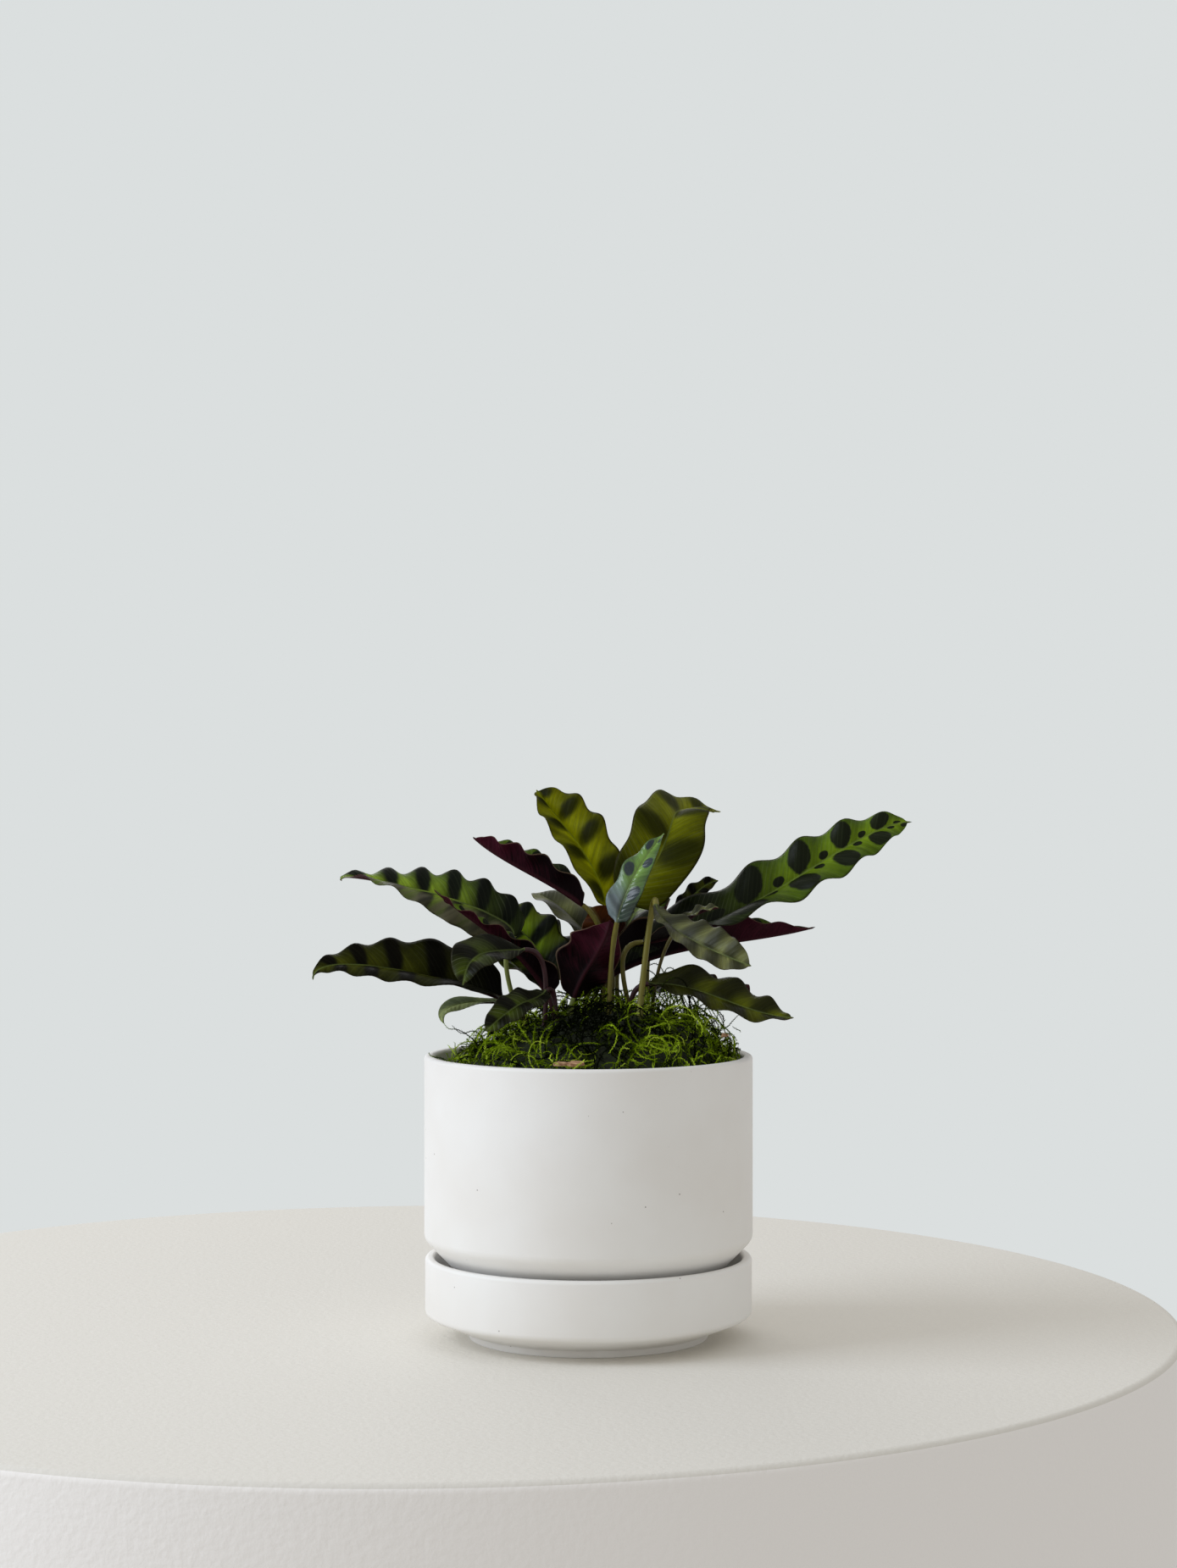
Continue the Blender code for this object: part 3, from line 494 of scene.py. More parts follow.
def leaf_upper(name, margin, middle, blotch, disc=(0.235, 0.52, 0.37), soft=0.2, roughness=0.36, through=0.2,
               coat=0.0, vein=0.12, gloss=0.09, painted_wave_shade=0.15, painted_sheen=None, painted_base_shade=0.9, small=0.0,
               ends=(0.75, 1.2), base_shade_end=0.46, crest=0.25):
    """Living leaf, waxy above: green between dark blotches that sit on the crests of its waves.

    The wax gives a soft window glint, and the veins a fine pleat. disc is a blotch's half length in turns of the
    wave, its middle and its half width across the half blade. through is how much light passes, vein how much
    paler the side veins are, ray how far the ground is painted lighter before each blotch
    and darker after it, as painted shade on the waves, and bloom the strength and colour of a pale
    painted sheen on the left half and how far along it ends, painted_base_shade how dark the painted shade at
    the blade's base is, small the half width of the small spots between the blotches, and ends how
    light the green is painted at the base and at the tip, as painted shade and light along the blade.
    crest is where in its wave a blotch has its middle, base_shade_end where the painted shade at the base ends.
    """
    material, put = new_material(name)
    x, v, turn, along, across, seed, spot = leaf_coordinates(put)
    a = put("ABSOLUTE", v)
    # Blotch edges wander by about a millimetre.
    ragged = put("NOISE", spot, {"Scale": 0.35, "Detail": 2.0})
    wander = put("MULTIPLY", put("SUBTRACT", ragged, 0.5), 0.6)
    masks = []
    spots = [(crest, *disc)] + ([(crest + 0.5, 0.11, 0.17, small)] if small else [])
    for place, reach, middle_at, wide in spots:
        cycle = put("FRACT", put("ADD", turn, 0.5 - place))
        off = put("DIVIDE", put("SUBTRACT", cycle, 0.5), reach)
        side = put("DIVIDE", put("SUBTRACT", a, middle_at), wide)
        far = put("ADD", put("MULTIPLY", off, off), put("MULTIPLY", side, side))
        masks.append(put("SMOOTH", put("ADD", far, wander), 1.0 + soft, 1.0 - soft))
    mark = put("MAXIMUM", masks[0], masks[-1])
    # Yellow-green beside the midrib, darker towards the margin, and darkest at the base, where shade is painted in.
    shade = put("RANGE", put("ADD", a, put("MULTIPLY", ragged, 0.5)), 0.35, 1.2)
    ground = put("MIX", shade, middle, margin)
    base = put("SMOOTH", x, base_shade_end - 0.3, base_shade_end, painted_base_shade, 0.0)
    ground = put("MIX", base, ground, blotch)
    dark = put("MIX", mark, ground, blotch)
    # Fine streaks run with the side veins, about 0.8 mm apart, and broad ones 5 mm apart.
    slant = put("MULTIPLY_ADD", put("ABSOLUTE", across), VEIN_SLANT, along)
    comb = put("COMBINE", put("MULTIPLY", slant, 1.25), put("MULTIPLY", across, 0.1), seed)
    streak = put("NOISE", comb, {"Scale": 1.0, "Detail": 2.0})
    broad = put("NOISE", comb, {"Scale": 0.17, "Detail": 1.0})
    streak_shade = put("MULTIPLY", put("RANGE", streak, 0.3, 0.7, 0.8, 1.16),
                       put("RANGE", broad, 0.3, 0.7, 0.75, 1.2))
    # Painted shade and light on the waves: lighter before each blotch, darker after it; ends paints base to tip.
    painted_light_factor = put("COSINE", put("MULTIPLY", put("ADD", turn, 0.08), math.tau))
    painted_light_factor = put("ADD", put("MULTIPLY", painted_light_factor, painted_wave_shade), 1.0)
    painted_light_factor = put("MULTIPLY", painted_light_factor, put("RANGE", x, 0.2, 0.9, *ends))
    streaked = put("V_SCALE", dark, {"Scale": put("MULTIPLY", streak_shade, painted_light_factor)})
    # Pale side veins about 2.4 mm apart, a narrow paler line along the midrib, and a thin dry edge.
    comb_teeth = put("SINE", put("MULTIPLY", slant, 2.6))
    lines = put("MULTIPLY", put("SMOOTH", comb_teeth, 0.7, 1.0, 0.0, vein), put("RANGE", broad, 0.4, 0.6, 0.3, 1.0))
    lines = put("MULTIPLY", lines, put("RANGE", mark, 0.0, 1.0, 1.0, 0.3))
    veined = put("MIX", lines, streaked, "8C9474")
    rib = put("RANGE", put("ABSOLUTE", across), 0.6, 0.15, 0.0, 0.5)
    ribbed = put("MIX", rib, veined, "76864A")
    edge = put("RANGE", a, 0.95, 0.985, 0.0, 0.8)
    colour = put("MIX", edge, ribbed, "3A3524")
    # Painted sheen: a pale reflection mixed over the left half, fading out along the blade.
    if painted_sheen:
        strength, sheen_colour, end = painted_sheen
        foot = put("MULTIPLY", put("RANGE", x, end - 0.3, end, strength, 0.0), put("RANGE", v, -0.02, -0.3))
        sheen_mask = put("MULTIPLY", foot, put("RANGE", broad, 0.35, 0.6, 0.2, 1.0))
        colour = put("MIX", sheen_mask, colour, sheen_colour)
    bump = put("BUMP", {"Strength": 0.5, "Distance": 0.0002, "Height": streak})
    rough = put("RANGE", ragged, 0.3, 0.7, roughness - 0.06, roughness + 0.1)
    shader = put("PRINCIPLED", {"Base Color": colour, "Roughness": rough, "Normal": bump, "Specular IOR Level": gloss,
                                "Coat Weight": coat, "Coat Roughness": 0.25})
    passing = put("V_MULTIPLY", colour, (2.2, 1.9, 0.7))
    lit = put("ShaderNodeBsdfTranslucent", {"Color": passing})
    put("ShaderNodeOutputMaterial", {"Surface": put("ShaderNodeMixShader", through, shader, lit)})
    return material


def leaf_under(name, deep, bright, rib_colour, through=0.0, roughness=0.5):
    """The leaf's underside: a matt velvety skin, wine red on grown leaves, with a paler raised rib and pale edge."""
    material, put = new_material(name)
    x, v, _, along, across, seed, spot = leaf_coordinates(put)
    a = put("ABSOLUTE", v)
    slant = put("MULTIPLY_ADD", put("ABSOLUTE", across), VEIN_SLANT, along)
    comb = put("COMBINE", put("MULTIPLY", slant, 1.25), put("MULTIPLY", across, 0.12), seed)
    streak = put("NOISE", comb, {"Scale": 1.0, "Detail": 2.0})
    cloud = put("NOISE", spot, {"Scale": 0.09, "Detail": 2.0})
    # It is deepest at the blade's base, where shade is painted in among the crowded stems, and reddest near its tip.
    painted_shade_at_base = put("RANGE", x, 0.2, 1.0, -0.5, 0.6)
    tone = put("RANGE", put("ADD", put("ADD", cloud, streak), painted_shade_at_base), 0.75, 1.5)
    skin = put("MIX", tone, deep, bright)
    rib = put("RANGE", put("ABSOLUTE", across), 1.3, 0.5, 0.0, 0.75)
    ribbed = put("MIX", rib, skin, rib_colour)
    edge = put("RANGE", a, 0.94, 0.99, 0.0, 0.6)
    colour = put("MIX", edge, ribbed, "8A735C")
    bump = put("BUMP", {"Strength": 0.6, "Distance": 0.0002, "Height": streak})
    shader = put("PRINCIPLED", {"Base Color": colour, "Roughness": roughness, "Normal": bump,
                                "Specular IOR Level": 0.04})
    if through:
        shader = put("ShaderNodeMixShader", through, shader, put("ShaderNodeBsdfTranslucent", {"Color": colour}))
    put("ShaderNodeOutputMaterial", {"Surface": shader})
    return material


def petiole_material(name, dark, light, sheath_colour):
    """Living stem: smooth and faintly ribbed, with a paler sheath at its foot."""
    material, put = new_material(name)
    height, *_, seed, _ = leaf_coordinates(put)
    spot = put("ShaderNodeTexCoord").outputs["Object"]
    long_grain = put("NOISE", put("ShaderNodeMapping", spot, {"Scale": (900.0, 900.0, 60.0)}),
                     {"Scale": 1.0, "Detail": 2.0})
    cloud = put("NOISE", put("COMBINE", seed, 0.0, 0.0), {"Scale": 0.37, "Detail": 0.0})
    tone = put("RANGE", put("ADD", put("MULTIPLY", long_grain, 0.4), cloud), 0.5, 0.85)
    upper = put("MIX", tone, dark, light)
    sheath = put("RANGE", height, -0.45, -0.75, 0.0, 0.75)
    colour = put("MIX", sheath, upper, sheath_colour)
    bump = put("BUMP", {"Strength": 0.4, "Distance": 0.0002, "Height": long_grain})
    shader = put("PRINCIPLED", {"Base Color": colour, "Roughness": 0.42, "Normal": bump, "Specular IOR Level": 0.3})
    put("ShaderNodeOutputMaterial", {"Surface": shader})
    return material


def leaf_materials(looks):
    """Upper side and underside for each look that a leaf may have, and each look of a petiole."""
    wine = leaf_under("Wine-red leaf underside", "0C0305", "3E1220", "34161C")
    rust = leaf_under("Thin brown leaf underside", "28100A", "5E3414", "6A5A30", 0.4, 0.45)
    fresh = leaf_under("Young leaf underside", "7C7E0E", "A4A818", "A0A83A", 0.6, 0.45)
    light, glow, blotch = looks.light, looks.glow, looks.blotch
    return {
        "mature": (leaf_upper("Waxy leaf with round blotches", light, glow, "1A200F",
                              (0.25, 0.5, 0.48), small=0.14, ends=(0.5, 1.3), base_shade_end=0.56, crest=0.13), wine),
        "bright": (leaf_upper("Waxy leaf with long blotches", "5A6718", glow, blotch, (0.24, 0.55, 0.75), 0.6,
                              painted_wave_shade=0.5), wine),
        # Painted sheen: a pale grey reflection painted over the left half.
        "sheen-painted": (leaf_upper("Waxy leaf with a hazy half", "546A22", "7E9828", blotch,
                            (0.24, 0.55, 0.75), 0.6, painted_wave_shade=0.5, painted_sheen=(0.9, "66634C", 1.3)), wine),
        "dark": (leaf_upper("Old waxy leaf", "22240A", "3E4209", "100F06",
                            (0.22, 0.5, 0.8), 0.6, vein=0.06, painted_wave_shade=0.3, gloss=0.04), wine),
        "olive": (leaf_upper("Olive waxy leaf", "343504", "545A07", "282A05",
                             (0.3, 0.5, 0.9), 0.9, vein=0.05, painted_wave_shade=0.4, gloss=0.1), wine),
        "veined": (leaf_upper("Dark leaf with pale veins", "262A0D", "3E4C0D", "17180A",
                              (0.24, 0.5, 0.8), 0.7, vein=0.24, painted_wave_shade=0.35), wine),
        # Partly the leaf's own grey-olive, partly a painted grey sheen where light glances off it.
        "grey-sheen-painted": (leaf_upper("Olive leaf with painted grey sheen", "565730", "6E7242", "46482E", (0.3, 0.5, 0.8),
                             0.9, 0.4, vein=0.2, painted_wave_shade=0.35, gloss=0.2, painted_base_shade=0.3), wine),
        "pale": (leaf_upper("Pale young leaf", "8A9660", "A4B070", "6C7856",
                            (0.24, 0.5, 0.5), 0.8, 0.46, vein=0.3), wine),
        # Painted reflection: a blue-white glint painted on the left half near the base.
        "glossy": (leaf_upper("Glossy young leaf", "547A3C", "7FAA44", "22363A",
                              (0.2, 0.5, 0.36), 0.3, 0.24, 0.25, 0.5, gloss=0.5, painted_sheen=(0.5, "B9CFD6", 0.5)), wine),
        # Painted glow: the base is painted lighter, where light passes through the young blade.
        "young": (leaf_upper("Thin young leaf", "70740A", "A2AA12", "343806",
                             (0.24, 0.5, 0.45), 0.8, 0.42, looks.young_through, painted_base_shade=0.0,
                             ends=(1.3, 0.75)), fresh),
        "backlit": (leaf_upper("Thin young leaf against the light", "565A03", "7C8204",
                               "363A03", (0.24, 0.5, 0.6), 0.8, 0.42, 0.3, gloss=0.05, painted_base_shade=0.2),
                    fresh),
        "rust": (leaf_upper("Thin brown leaf", "6A4A12", "8E6A1C", "4A3410",
                            (0.26, 0.5, 0.42), 0.8, 0.42, 0.4), rust),
        "olive stem": petiole_material("Olive stem", "40360E", "706A26", "808C44"),
        "wine stem": petiole_material("Wine-brown stem", "1E0C10", "402024", "4E3C30"),
        "pale stem": petiole_material("Pale green stem", "626E30", "88944E", "98A874"),
    }


# ---------------------------------------------------------------- moss

STRAND_SOCKETS = {
    "Geometry": {"Path": None}, "Material": {"Moss": None},
    "Float": {"Stem radius": 0.00026, "Leaflet spacing": 0.0005, "Leaflet length": 0.0014, "Leaflet width": 0.0004,
              "Spread": 0.7, "Shade": 0.5},
}
CARPET_SOCKETS = {
    "Geometry": {"Mound": None}, "Collection": {"Strands": None}, "Material": {"Moss": None}, "Int": {"Seed": 1},
    "Float": {"Density": 17000.0, "Smallest": 0.7, "Largest": 1.4, "Lean": 0.5, "Room": 0.0705, "Sunk": 0.001},
}


def strand_tree():
    """A moss shoot: a tapering stem along a path, with small pointed leaflets set in a spiral up it."""
    tree, put, given = new_tree("Moss strand", STRAND_SOCKETS, "Strand")
    path = put("GeometryNodeResampleCurve", given["Path"], True, given["Leaflet spacing"], mode="LENGTH")
    factor = put("GeometryNodeSplineParameter").outputs["Factor"]
    taper = put("RANGE", factor, 0.0, 1.0, 1.0, 0.35)
    ring = put("GeometryNodeCurvePrimitiveCircle", 3, {"Radius": given["Stem radius"]}, mode="RADIUS")
    stem_path = put("GeometryNodeResampleCurve", given["Path"], True, put("MULTIPLY", given["Leaflet spacing"], 2.0),
                    mode="LENGTH")
    stem = put("GeometryNodeCurveToMesh", stem_path, ring, taper, True)
    cone = put("GeometryNodeMeshCone", 3, 1, 1, 0.0, given["Leaflet width"], given["Leaflet length"])
    index = put("GeometryNodeInputIndex")
    ahead = put("FunctionNodeAlignRotationToVector", None, 1.0, put("GeometryNodeInputTangent"), axis="Z")
    about = put("AXIS_ANGLE", (0.0, 0.0, 1.0), put("MULTIPLY", index, 2.4))
    tip_over = put("AXIS_ANGLE", (1.0, 0.0, 0.0), given["Spread"])
    turned = put("FunctionNodeRotateRotation", ahead, about, rotation_space="LOCAL")
    turned = put("FunctionNodeRotateRotation", turned, tip_over, rotation_space="LOCAL")
    size = put("RANGE", factor, 0.0, 1.0, 1.0, 0.55)
    flat = put("COMBINE", size, put("MULTIPLY", size, 0.6), size)
    leaflets = put("GeometryNodeInstanceOnPoints", path, True, cone, {"Rotation": turned, "Scale": flat})
    joined = put("GeometryNodeJoinGeometry")
    for part in (leaflets, stem):
        tree.links.new(part.outputs[0], joined.inputs[0])
    real = put("GeometryNodeRealizeInstances", joined)
    shaded = put("STORE", real, True, "moss_shade", given["Shade"], data_type="FLOAT", domain="POINT")
    put("NodeGroupOutput", put("SET_MATERIAL", shaded, True, given["Moss"]))
    return tree


def carpet_tree():
    """Strands scattered over the mound, leaning every way, and kept inside the pot's wall."""
    tree, put, given = new_tree("Moss carpet", CARPET_SOCKETS, "Carpet")
    spots = put("GeometryNodeDistributePointsOnFaces", given["Mound"], True,
                {"Density": given["Density"], "Seed": given["Seed"]})
    strands = put("GeometryNodeCollectionInfo", given["Strands"], True, True)
    heading = put("RANDOM", {"Seed": given["Seed"]})
    turn = put("AXIS_ANGLE", (0.0, 0.0, 1.0), put("MULTIPLY", heading, math.tau))
    lean = put("RANDOM", {"Seed": put("ADD", given["Seed"], 7.0)})
    lean_by = put("MULTIPLY", put("SUBTRACT", lean, 0.5), given["Lean"])
    tilt = put("AXIS_ANGLE", (0.0, 1.0, 0.0), lean_by)
    upright = put("FunctionNodeAlignRotationToVector", None, 1.0, spots.outputs["Normal"], axis="Z")
    rotation = put("FunctionNodeRotateRotation", upright, turn, rotation_space="LOCAL")
    rotation = put("FunctionNodeRotateRotation", rotation, tilt, rotation_space="LOCAL")
    pick = put("FunctionNodeRandomValue", 0, 100, {"Seed": put("ADD", given["Seed"], 8.0)}, data_type="INT")
    size = put("RANDOM", given["Smallest"], given["Largest"], {"Seed": put("ADD", given["Seed"], 9.0)})
    placed = put("GeometryNodeInstanceOnPoints", spots, True, strands, True,
                 {"Instance Index": pick, "Rotation": rotation, "Scale": size})
    shade = put("RANDOM", {"Seed": 31})
    toned = put("STORE", placed, True, "strand_tone", shade, data_type="FLOAT", domain="INSTANCE")
    real = put("GeometryNodeRealizeInstances", toned)
    # Nothing may pass through the pot's wall.
    place = put("SEPARATE", put("GeometryNodeInputPosition")).outputs
    flat = put("COMBINE", place[0], place[1], 0.0)
    reach = put("V_LENGTH", flat)
    inside = put("MINIMUM", put("DIVIDE", given["Room"], reach), 1.0)
    held = put("COMBINE", put("MULTIPLY", place[0], inside), put("MULTIPLY", place[1], inside),
               put("SUBTRACT", place[2], given["Sunk"]))
    kept = put("GeometryNodeSetPosition", real, True, held)
    put("NodeGroupOutput", put("SET_MATERIAL", put("GeometryNodeRealizeInstances", kept), True, given["Moss"]))
    return tree


def path_curve(name, paths):
    """A curve object with one smooth spline through each list of points in millimetres."""
    curve = bpy.data.curves.new(name, "CURVE")
    curve.dimensions = "3D"
    for points in paths:
        spline = curve.splines.new("BEZIER")
        spline.bezier_points.add(len(points) - 1)
        for knot, point in zip(spline.bezier_points, points):
            knot.co = Vector(point) * MM
            knot.handle_left_type = knot.handle_right_type = "AUTO"
    return bpy.data.objects.new(name, curve)


def moss_top(r, angle):
    """Height of the moss mound, as in the part's source."""
    x, y = r * math.cos(angle), r * math.sin(angle)
    edge = MOSS_RADIUS + MOSS_SHIFT * math.cos(angle)
    dome = MOSS_RISE * max(1 - (r / edge) ** 2, 0) ** 0.6 * (1 + MOSS_LEAN * x / MOSS_RADIUS)
    lumps = 1.3 * math.sin(0.33 * x + 1) * math.cos(0.29 * y) + 0.8 * math.sin(0.55 * x - 0.45 * y)
    t = min(max((edge - r) / 12, 0), 1)
    return SOIL_TOP + GAP + MOSS_EDGE + dome + lumps * t * t * (3 - 2 * t)


def mound_mesh(name, rings=40, around=120, drop=0.0):
    """The mound under the strands, closed below."""
    low = SOIL_TOP + GAP
    points = [(0, 0, moss_top(0, 0) - drop), (0, 0, low)]
    faces = []
    for i in range(1, rings + 1):
        for j in range(around):
            q = math.tau * j / around
            r = (MOSS_RADIUS + MOSS_SHIFT * math.cos(q) + 0.8 * math.sin(5 * q)) * i / rings
            points.append((r * math.cos(q), r * math.sin(q), max(moss_top(r, q) - drop, low + 1)))
    rim = 2 + (rings - 1) * around
    points += [(x, y, low) for x, y, _ in points[rim:rim + around]]
    for j in range(around):
        m = (j + 1) % around
        faces.append((0, 2 + j, 2 + m))
        faces += [(2 + i * around + j, 2 + (i + 1) * around + j, 2 + (i + 1) * around + m, 2 + i * around + m)
                  for i in range(rings)]
        faces.append((1, rim + around + m, rim + around + j))
    mesh = bpy.data.meshes.new(name)
    mesh.from_pydata([tuple(c * MM for c in p) for p in points], [], faces)
    mesh.shade_smooth()
    return mesh


def moss_material(looks):
    """Living sheet moss: soft matt shoots, fresh yellow-green where new and dark green to brown below."""
    material, put = new_material("Sheet moss")
    spot = put("ShaderNodeTexCoord").outputs["Object"]
    cloud = put("NOISE", spot, {"Scale": 70.0, "Detail": 3.0})
    tone = put("ShaderNodeAttribute", attribute_name="strand_tone").outputs["Fac"]
    shade = put("ShaderNodeAttribute", attribute_name="moss_shade").outputs["Fac"]
    # Painted shade: it is painted dark in front of the middle, under the leaves.
    middle = put("V_DISTANCE", spot, (0.0, -0.032, 0.146)).outputs["Value"]
    shadowed = put("SMOOTH", middle, 0.012, 0.034, 0.5, 0.0)
    mixed = put("ADD", put("MULTIPLY_ADD", cloud, 1.7, put("MULTIPLY", tone, 0.8)),
                put("SUBTRACT", put("MULTIPLY", shade, 0.22), shadowed))
    fresh = put("SMOOTH", mixed, 1.0, 1.85)
    colour = put("MIX", fresh, looks.shadow, looks.fresh)
    # Painted highlights: the palest shoots are painted nearly white-yellow, as if they caught the light.
    pale = put("RANGE", mixed, 1.4, 1.9, 0.0, 0.8)
    colour = put("MIX", pale, colour, "E6F264")
    shader = put("PRINCIPLED", {"Base Color": colour, "Roughness": 0.6, "Specular IOR Level": 0.04})
    lit = put("ShaderNodeBsdfTranslucent", {"Color": colour})
    put("ShaderNodeOutputMaterial", {"Surface": put("ShaderNodeMixShader", 0.25, shader, lit)})
    return material


# ---------------------------------------------------------------- pot, saucer and soil


def arc(r, z, radius, start, stop, steps=8):
    """Points of a rounded edge about (r, z), from one angle to another in degrees."""
    angles = [math.radians(start + (stop - start) * i / steps) for i in range(steps + 1)]
    return [(r + radius * math.cos(q), z + radius * math.sin(q)) for q in angles]


def turned(name, profile, steps):
    """A solid of revolution: a closed loop of (radius, height), or a line that starts and ends on the axis."""
    ring = profile[0][0] > 0
    points, rows = [], []
    for r, z in profile:
        if r == 0:
            rows.append([len(points)] * steps)
            points.append((0, 0, z * MM))
            continue
        rows.append(list(range(len(points), len(points) + steps)))
        points += [(r * MM * math.cos(math.tau * j / steps), r * MM * math.sin(math.tau * j / steps), z * MM)
                   for j in range(steps)]
    faces = []
    for i in range(len(rows) if ring else len(rows) - 1):
        one, two = rows[i], rows[(i + 1) % len(rows)]
        for j in range(steps):
            m = (j + 1) % steps
            face = []
            for corner in (one[j], one[m], two[m], two[j]):
                if corner not in face:
                    face.append(corner)
            if len(face) > 2:
                faces.append(face)
    mesh = bpy.data.meshes.new(name)
    mesh.from_pydata(points, [], faces)
    mesh.shade_smooth()
    obj = bpy.data.objects.new(name, mesh)
    bpy.context.scene.collection.objects.link(obj)
    return obj


def saucer_profile(edge):
    """From the middle of the saucer's floor over its rim to the middle of its foot."""
    return [*SAUCER_INSIDE, *arc(SAUCER_RADIUS - WALL + edge, SAUCER_TOP - edge, edge, 180, 90),
            *arc(SAUCER_RADIUS - edge, SAUCER_TOP - edge, edge, 90, 0), *SAUCER_OUTSIDE]


def pot_profile(edge):
    """Down the pot's outside, up through its drainage hole and up its inside."""
    return [*arc(POT_RADIUS - edge, POT_TOP - edge, edge, 90, 0), *POT_SIDES,
            *arc(POT_RADIUS - WALL + edge, POT_TOP - edge, edge, 180, 90)]


def ceramic_material(looks):
    """Stoneware with a matt white glaze, slip-cast and fired: a soft, dry sheen and a few iron specks."""
    material, put = new_material("Matt white glazed stoneware")
    spot = put("ShaderNodeTexCoord").outputs["Object"]
    cloud = put("NOISE", spot, {"Scale": 18.0, "Detail": 3.0})
    tone = put("RANGE", cloud, 0.3, 0.7)
    glaze = put("MIX", tone, looks.glaze_low, looks.glaze)
    # Iron specks under a millimetre across, in about one in eight cells of 5 mm.
    cells = put("ShaderNodeTexVoronoi", spot, {"Scale": 200.0})
    lot = put("ShaderNodeSeparateColor", cells.outputs["Color"]).outputs[0]
    few = put("LESS_THAN", lot, 0.12)
    speck = put("MULTIPLY", put("RANGE", cells.outputs["Distance"], 0.075, 0.05, 0.0, 0.75), few)
    colour = put("MIX", speck, glaze, "6A5A48")
    # Glaze grain of about 0.4 mm.
    grain = put("NOISE", spot, {"Scale": 2500.0, "Detail": 2.0})
    bump = put("BUMP", {"Strength": 0.12, "Distance": 0.0002, "Height": grain})
    rough = put("RANGE", cloud, 0.3, 0.7, looks.roughness - 0.05, looks.roughness + 0.07)
    shader = put("PRINCIPLED", {"Base Color": colour, "Roughness": rough, "Normal": bump, "Specular IOR Level": 0.4})
    put("ShaderNodeOutputMaterial", {"Surface": shader})
    return material


# ---------------------------------------------------------------- settings


def length_setting(name, description, metres):
    return FloatProperty(name=name, description=description, default=metres, unit="LENGTH")


def colour_setting(name, description, code):
    return FloatVectorProperty(name=name, description=description, default=linear(code), subtype="COLOR")


class LeafSettings(bpy.types.PropertyGroup):
    """Sizes and colours of the leaves."""

    thickness: length_setting("Thickness", "Thickness of the blade between its ribs", 0.00045)
    rib_depth: length_setting("Rib depth", "How far the midrib stands out underneath", 0.0009)
    vein_spacing: length_setting("Vein spacing", "Distance between raised side veins", 0.0024)
    vein_relief: length_setting("Vein relief", "Height of the side veins", 0.00009)
    pucker: length_setting("Pucker", "Unevenness of the blade", 0.0006)
    rings: IntProperty(name="Rings", description="Rows of points from the petiole's foot to the tip", default=224)
    points_around: IntProperty(
        name="Points around", description="Points in each row, over the upper side and back", default=57)
    light: colour_setting("Green", "Green towards the margin", "4B6314")
    glow: colour_setting("Light green", "Green beside the midrib", "6F8A16")
    blotch: colour_setting("Blotches", "Dark green of the blotches", "161D10")
    young_through: FloatProperty(
        name="Young leaf glow", description="Share of light that passes a young leaf", default=0.6, subtype="FACTOR")


class MossSettings(bpy.types.PropertyGroup):
    """Sizes and colours of the moss."""

    density: FloatProperty(
        name="Density", description="Strands per square metre of mound in one layer", default=17000.0)
    seed: IntProperty(name="Seed", description="Seed of the scatter", default=5)
    fresh: colour_setting("Fresh", "Colour of new shoots", "BCE60C")
    # The dark colour is also the painted shade in front of the middle.
    shadow: colour_setting("Old", "Colour of old shoots", "0A1002")


class PotSettings(bpy.types.PropertyGroup):
    """Sizes and finish of the pot and saucer."""

    edge: FloatProperty(name="Edge radius", description="Rounding of both rims, in millimetres", default=1.7)
    steps: IntProperty(name="Steps", description="Sides of each turned body", default=192)
    glaze: colour_setting("Glaze", "Colour of the glaze", "F5F4F1")
    glaze_low: colour_setting("Glaze, thin", "Colour where the glaze is thinner", "EFECE7")
    roughness: FloatProperty(name="Roughness", description="Roughness of the glaze", default=0.52, subtype="FACTOR")


class StageSettings(bpy.types.PropertyGroup):
    """The floor, backdrop and lights."""

    floor: colour_setting("Floor", "Colour of the floor", "E7E3DA")
    # The side is painted lighter than the top: painted light where the window falls on it.
    floor_side_painted_lighter: colour_setting("Floor's side", "Colour of the floor's edge", "FCF8F3")
    wall: colour_setting("Backdrop", "Colour behind the plant", "DBDFDF")
    window: FloatProperty(
        name="Window", description="Power of the soft light at the left", default=28.0, unit="POWER")
    room: FloatProperty(name="Room", description="Strength of the light all round", default=1.12)


# ---------------------------------------------------------------- operators


class CALATHEA_OT_pot(bpy.types.Operator):
    """Turn the pot and its saucer and glaze them"""

    bl_idname = "calathea.pot"
    bl_label = "Pot and Saucer"

    def execute(self, context):
        looks = context.scene.calathea_pot
        glaze = ceramic_material(looks)
        for name, profile in (("pot", pot_profile(looks.edge)), ("saucer", saucer_profile(looks.edge))):
            body = turned(name + "_body", profile, looks.steps)
            face_outward(body)
            body.data.materials.append(glaze)
            on_plant(body, "ceramic", name)
        return {"FINISHED"}


class CALATHEA_OT_soil(bpy.types.Operator):
    """Finish the soil that fills the pot"""

    bl_idname = "calathea.soil"
    bl_label = "Soil"

    def execute(self, context):
        soil = frame["nodes"]["soil"]
        # Moist potting mix: dark, crumbly peat with pale grit.
        mix = dull_material("Moist potting mix", "1C1510", "3E3024", (400.0, 400.0, 400.0), 5.0, (0.8, 0.001), 0.9,
                            grit="8A8378")
        for slot in soil.material_slots:
            slot.material = mix
        return {"FINISHED"}


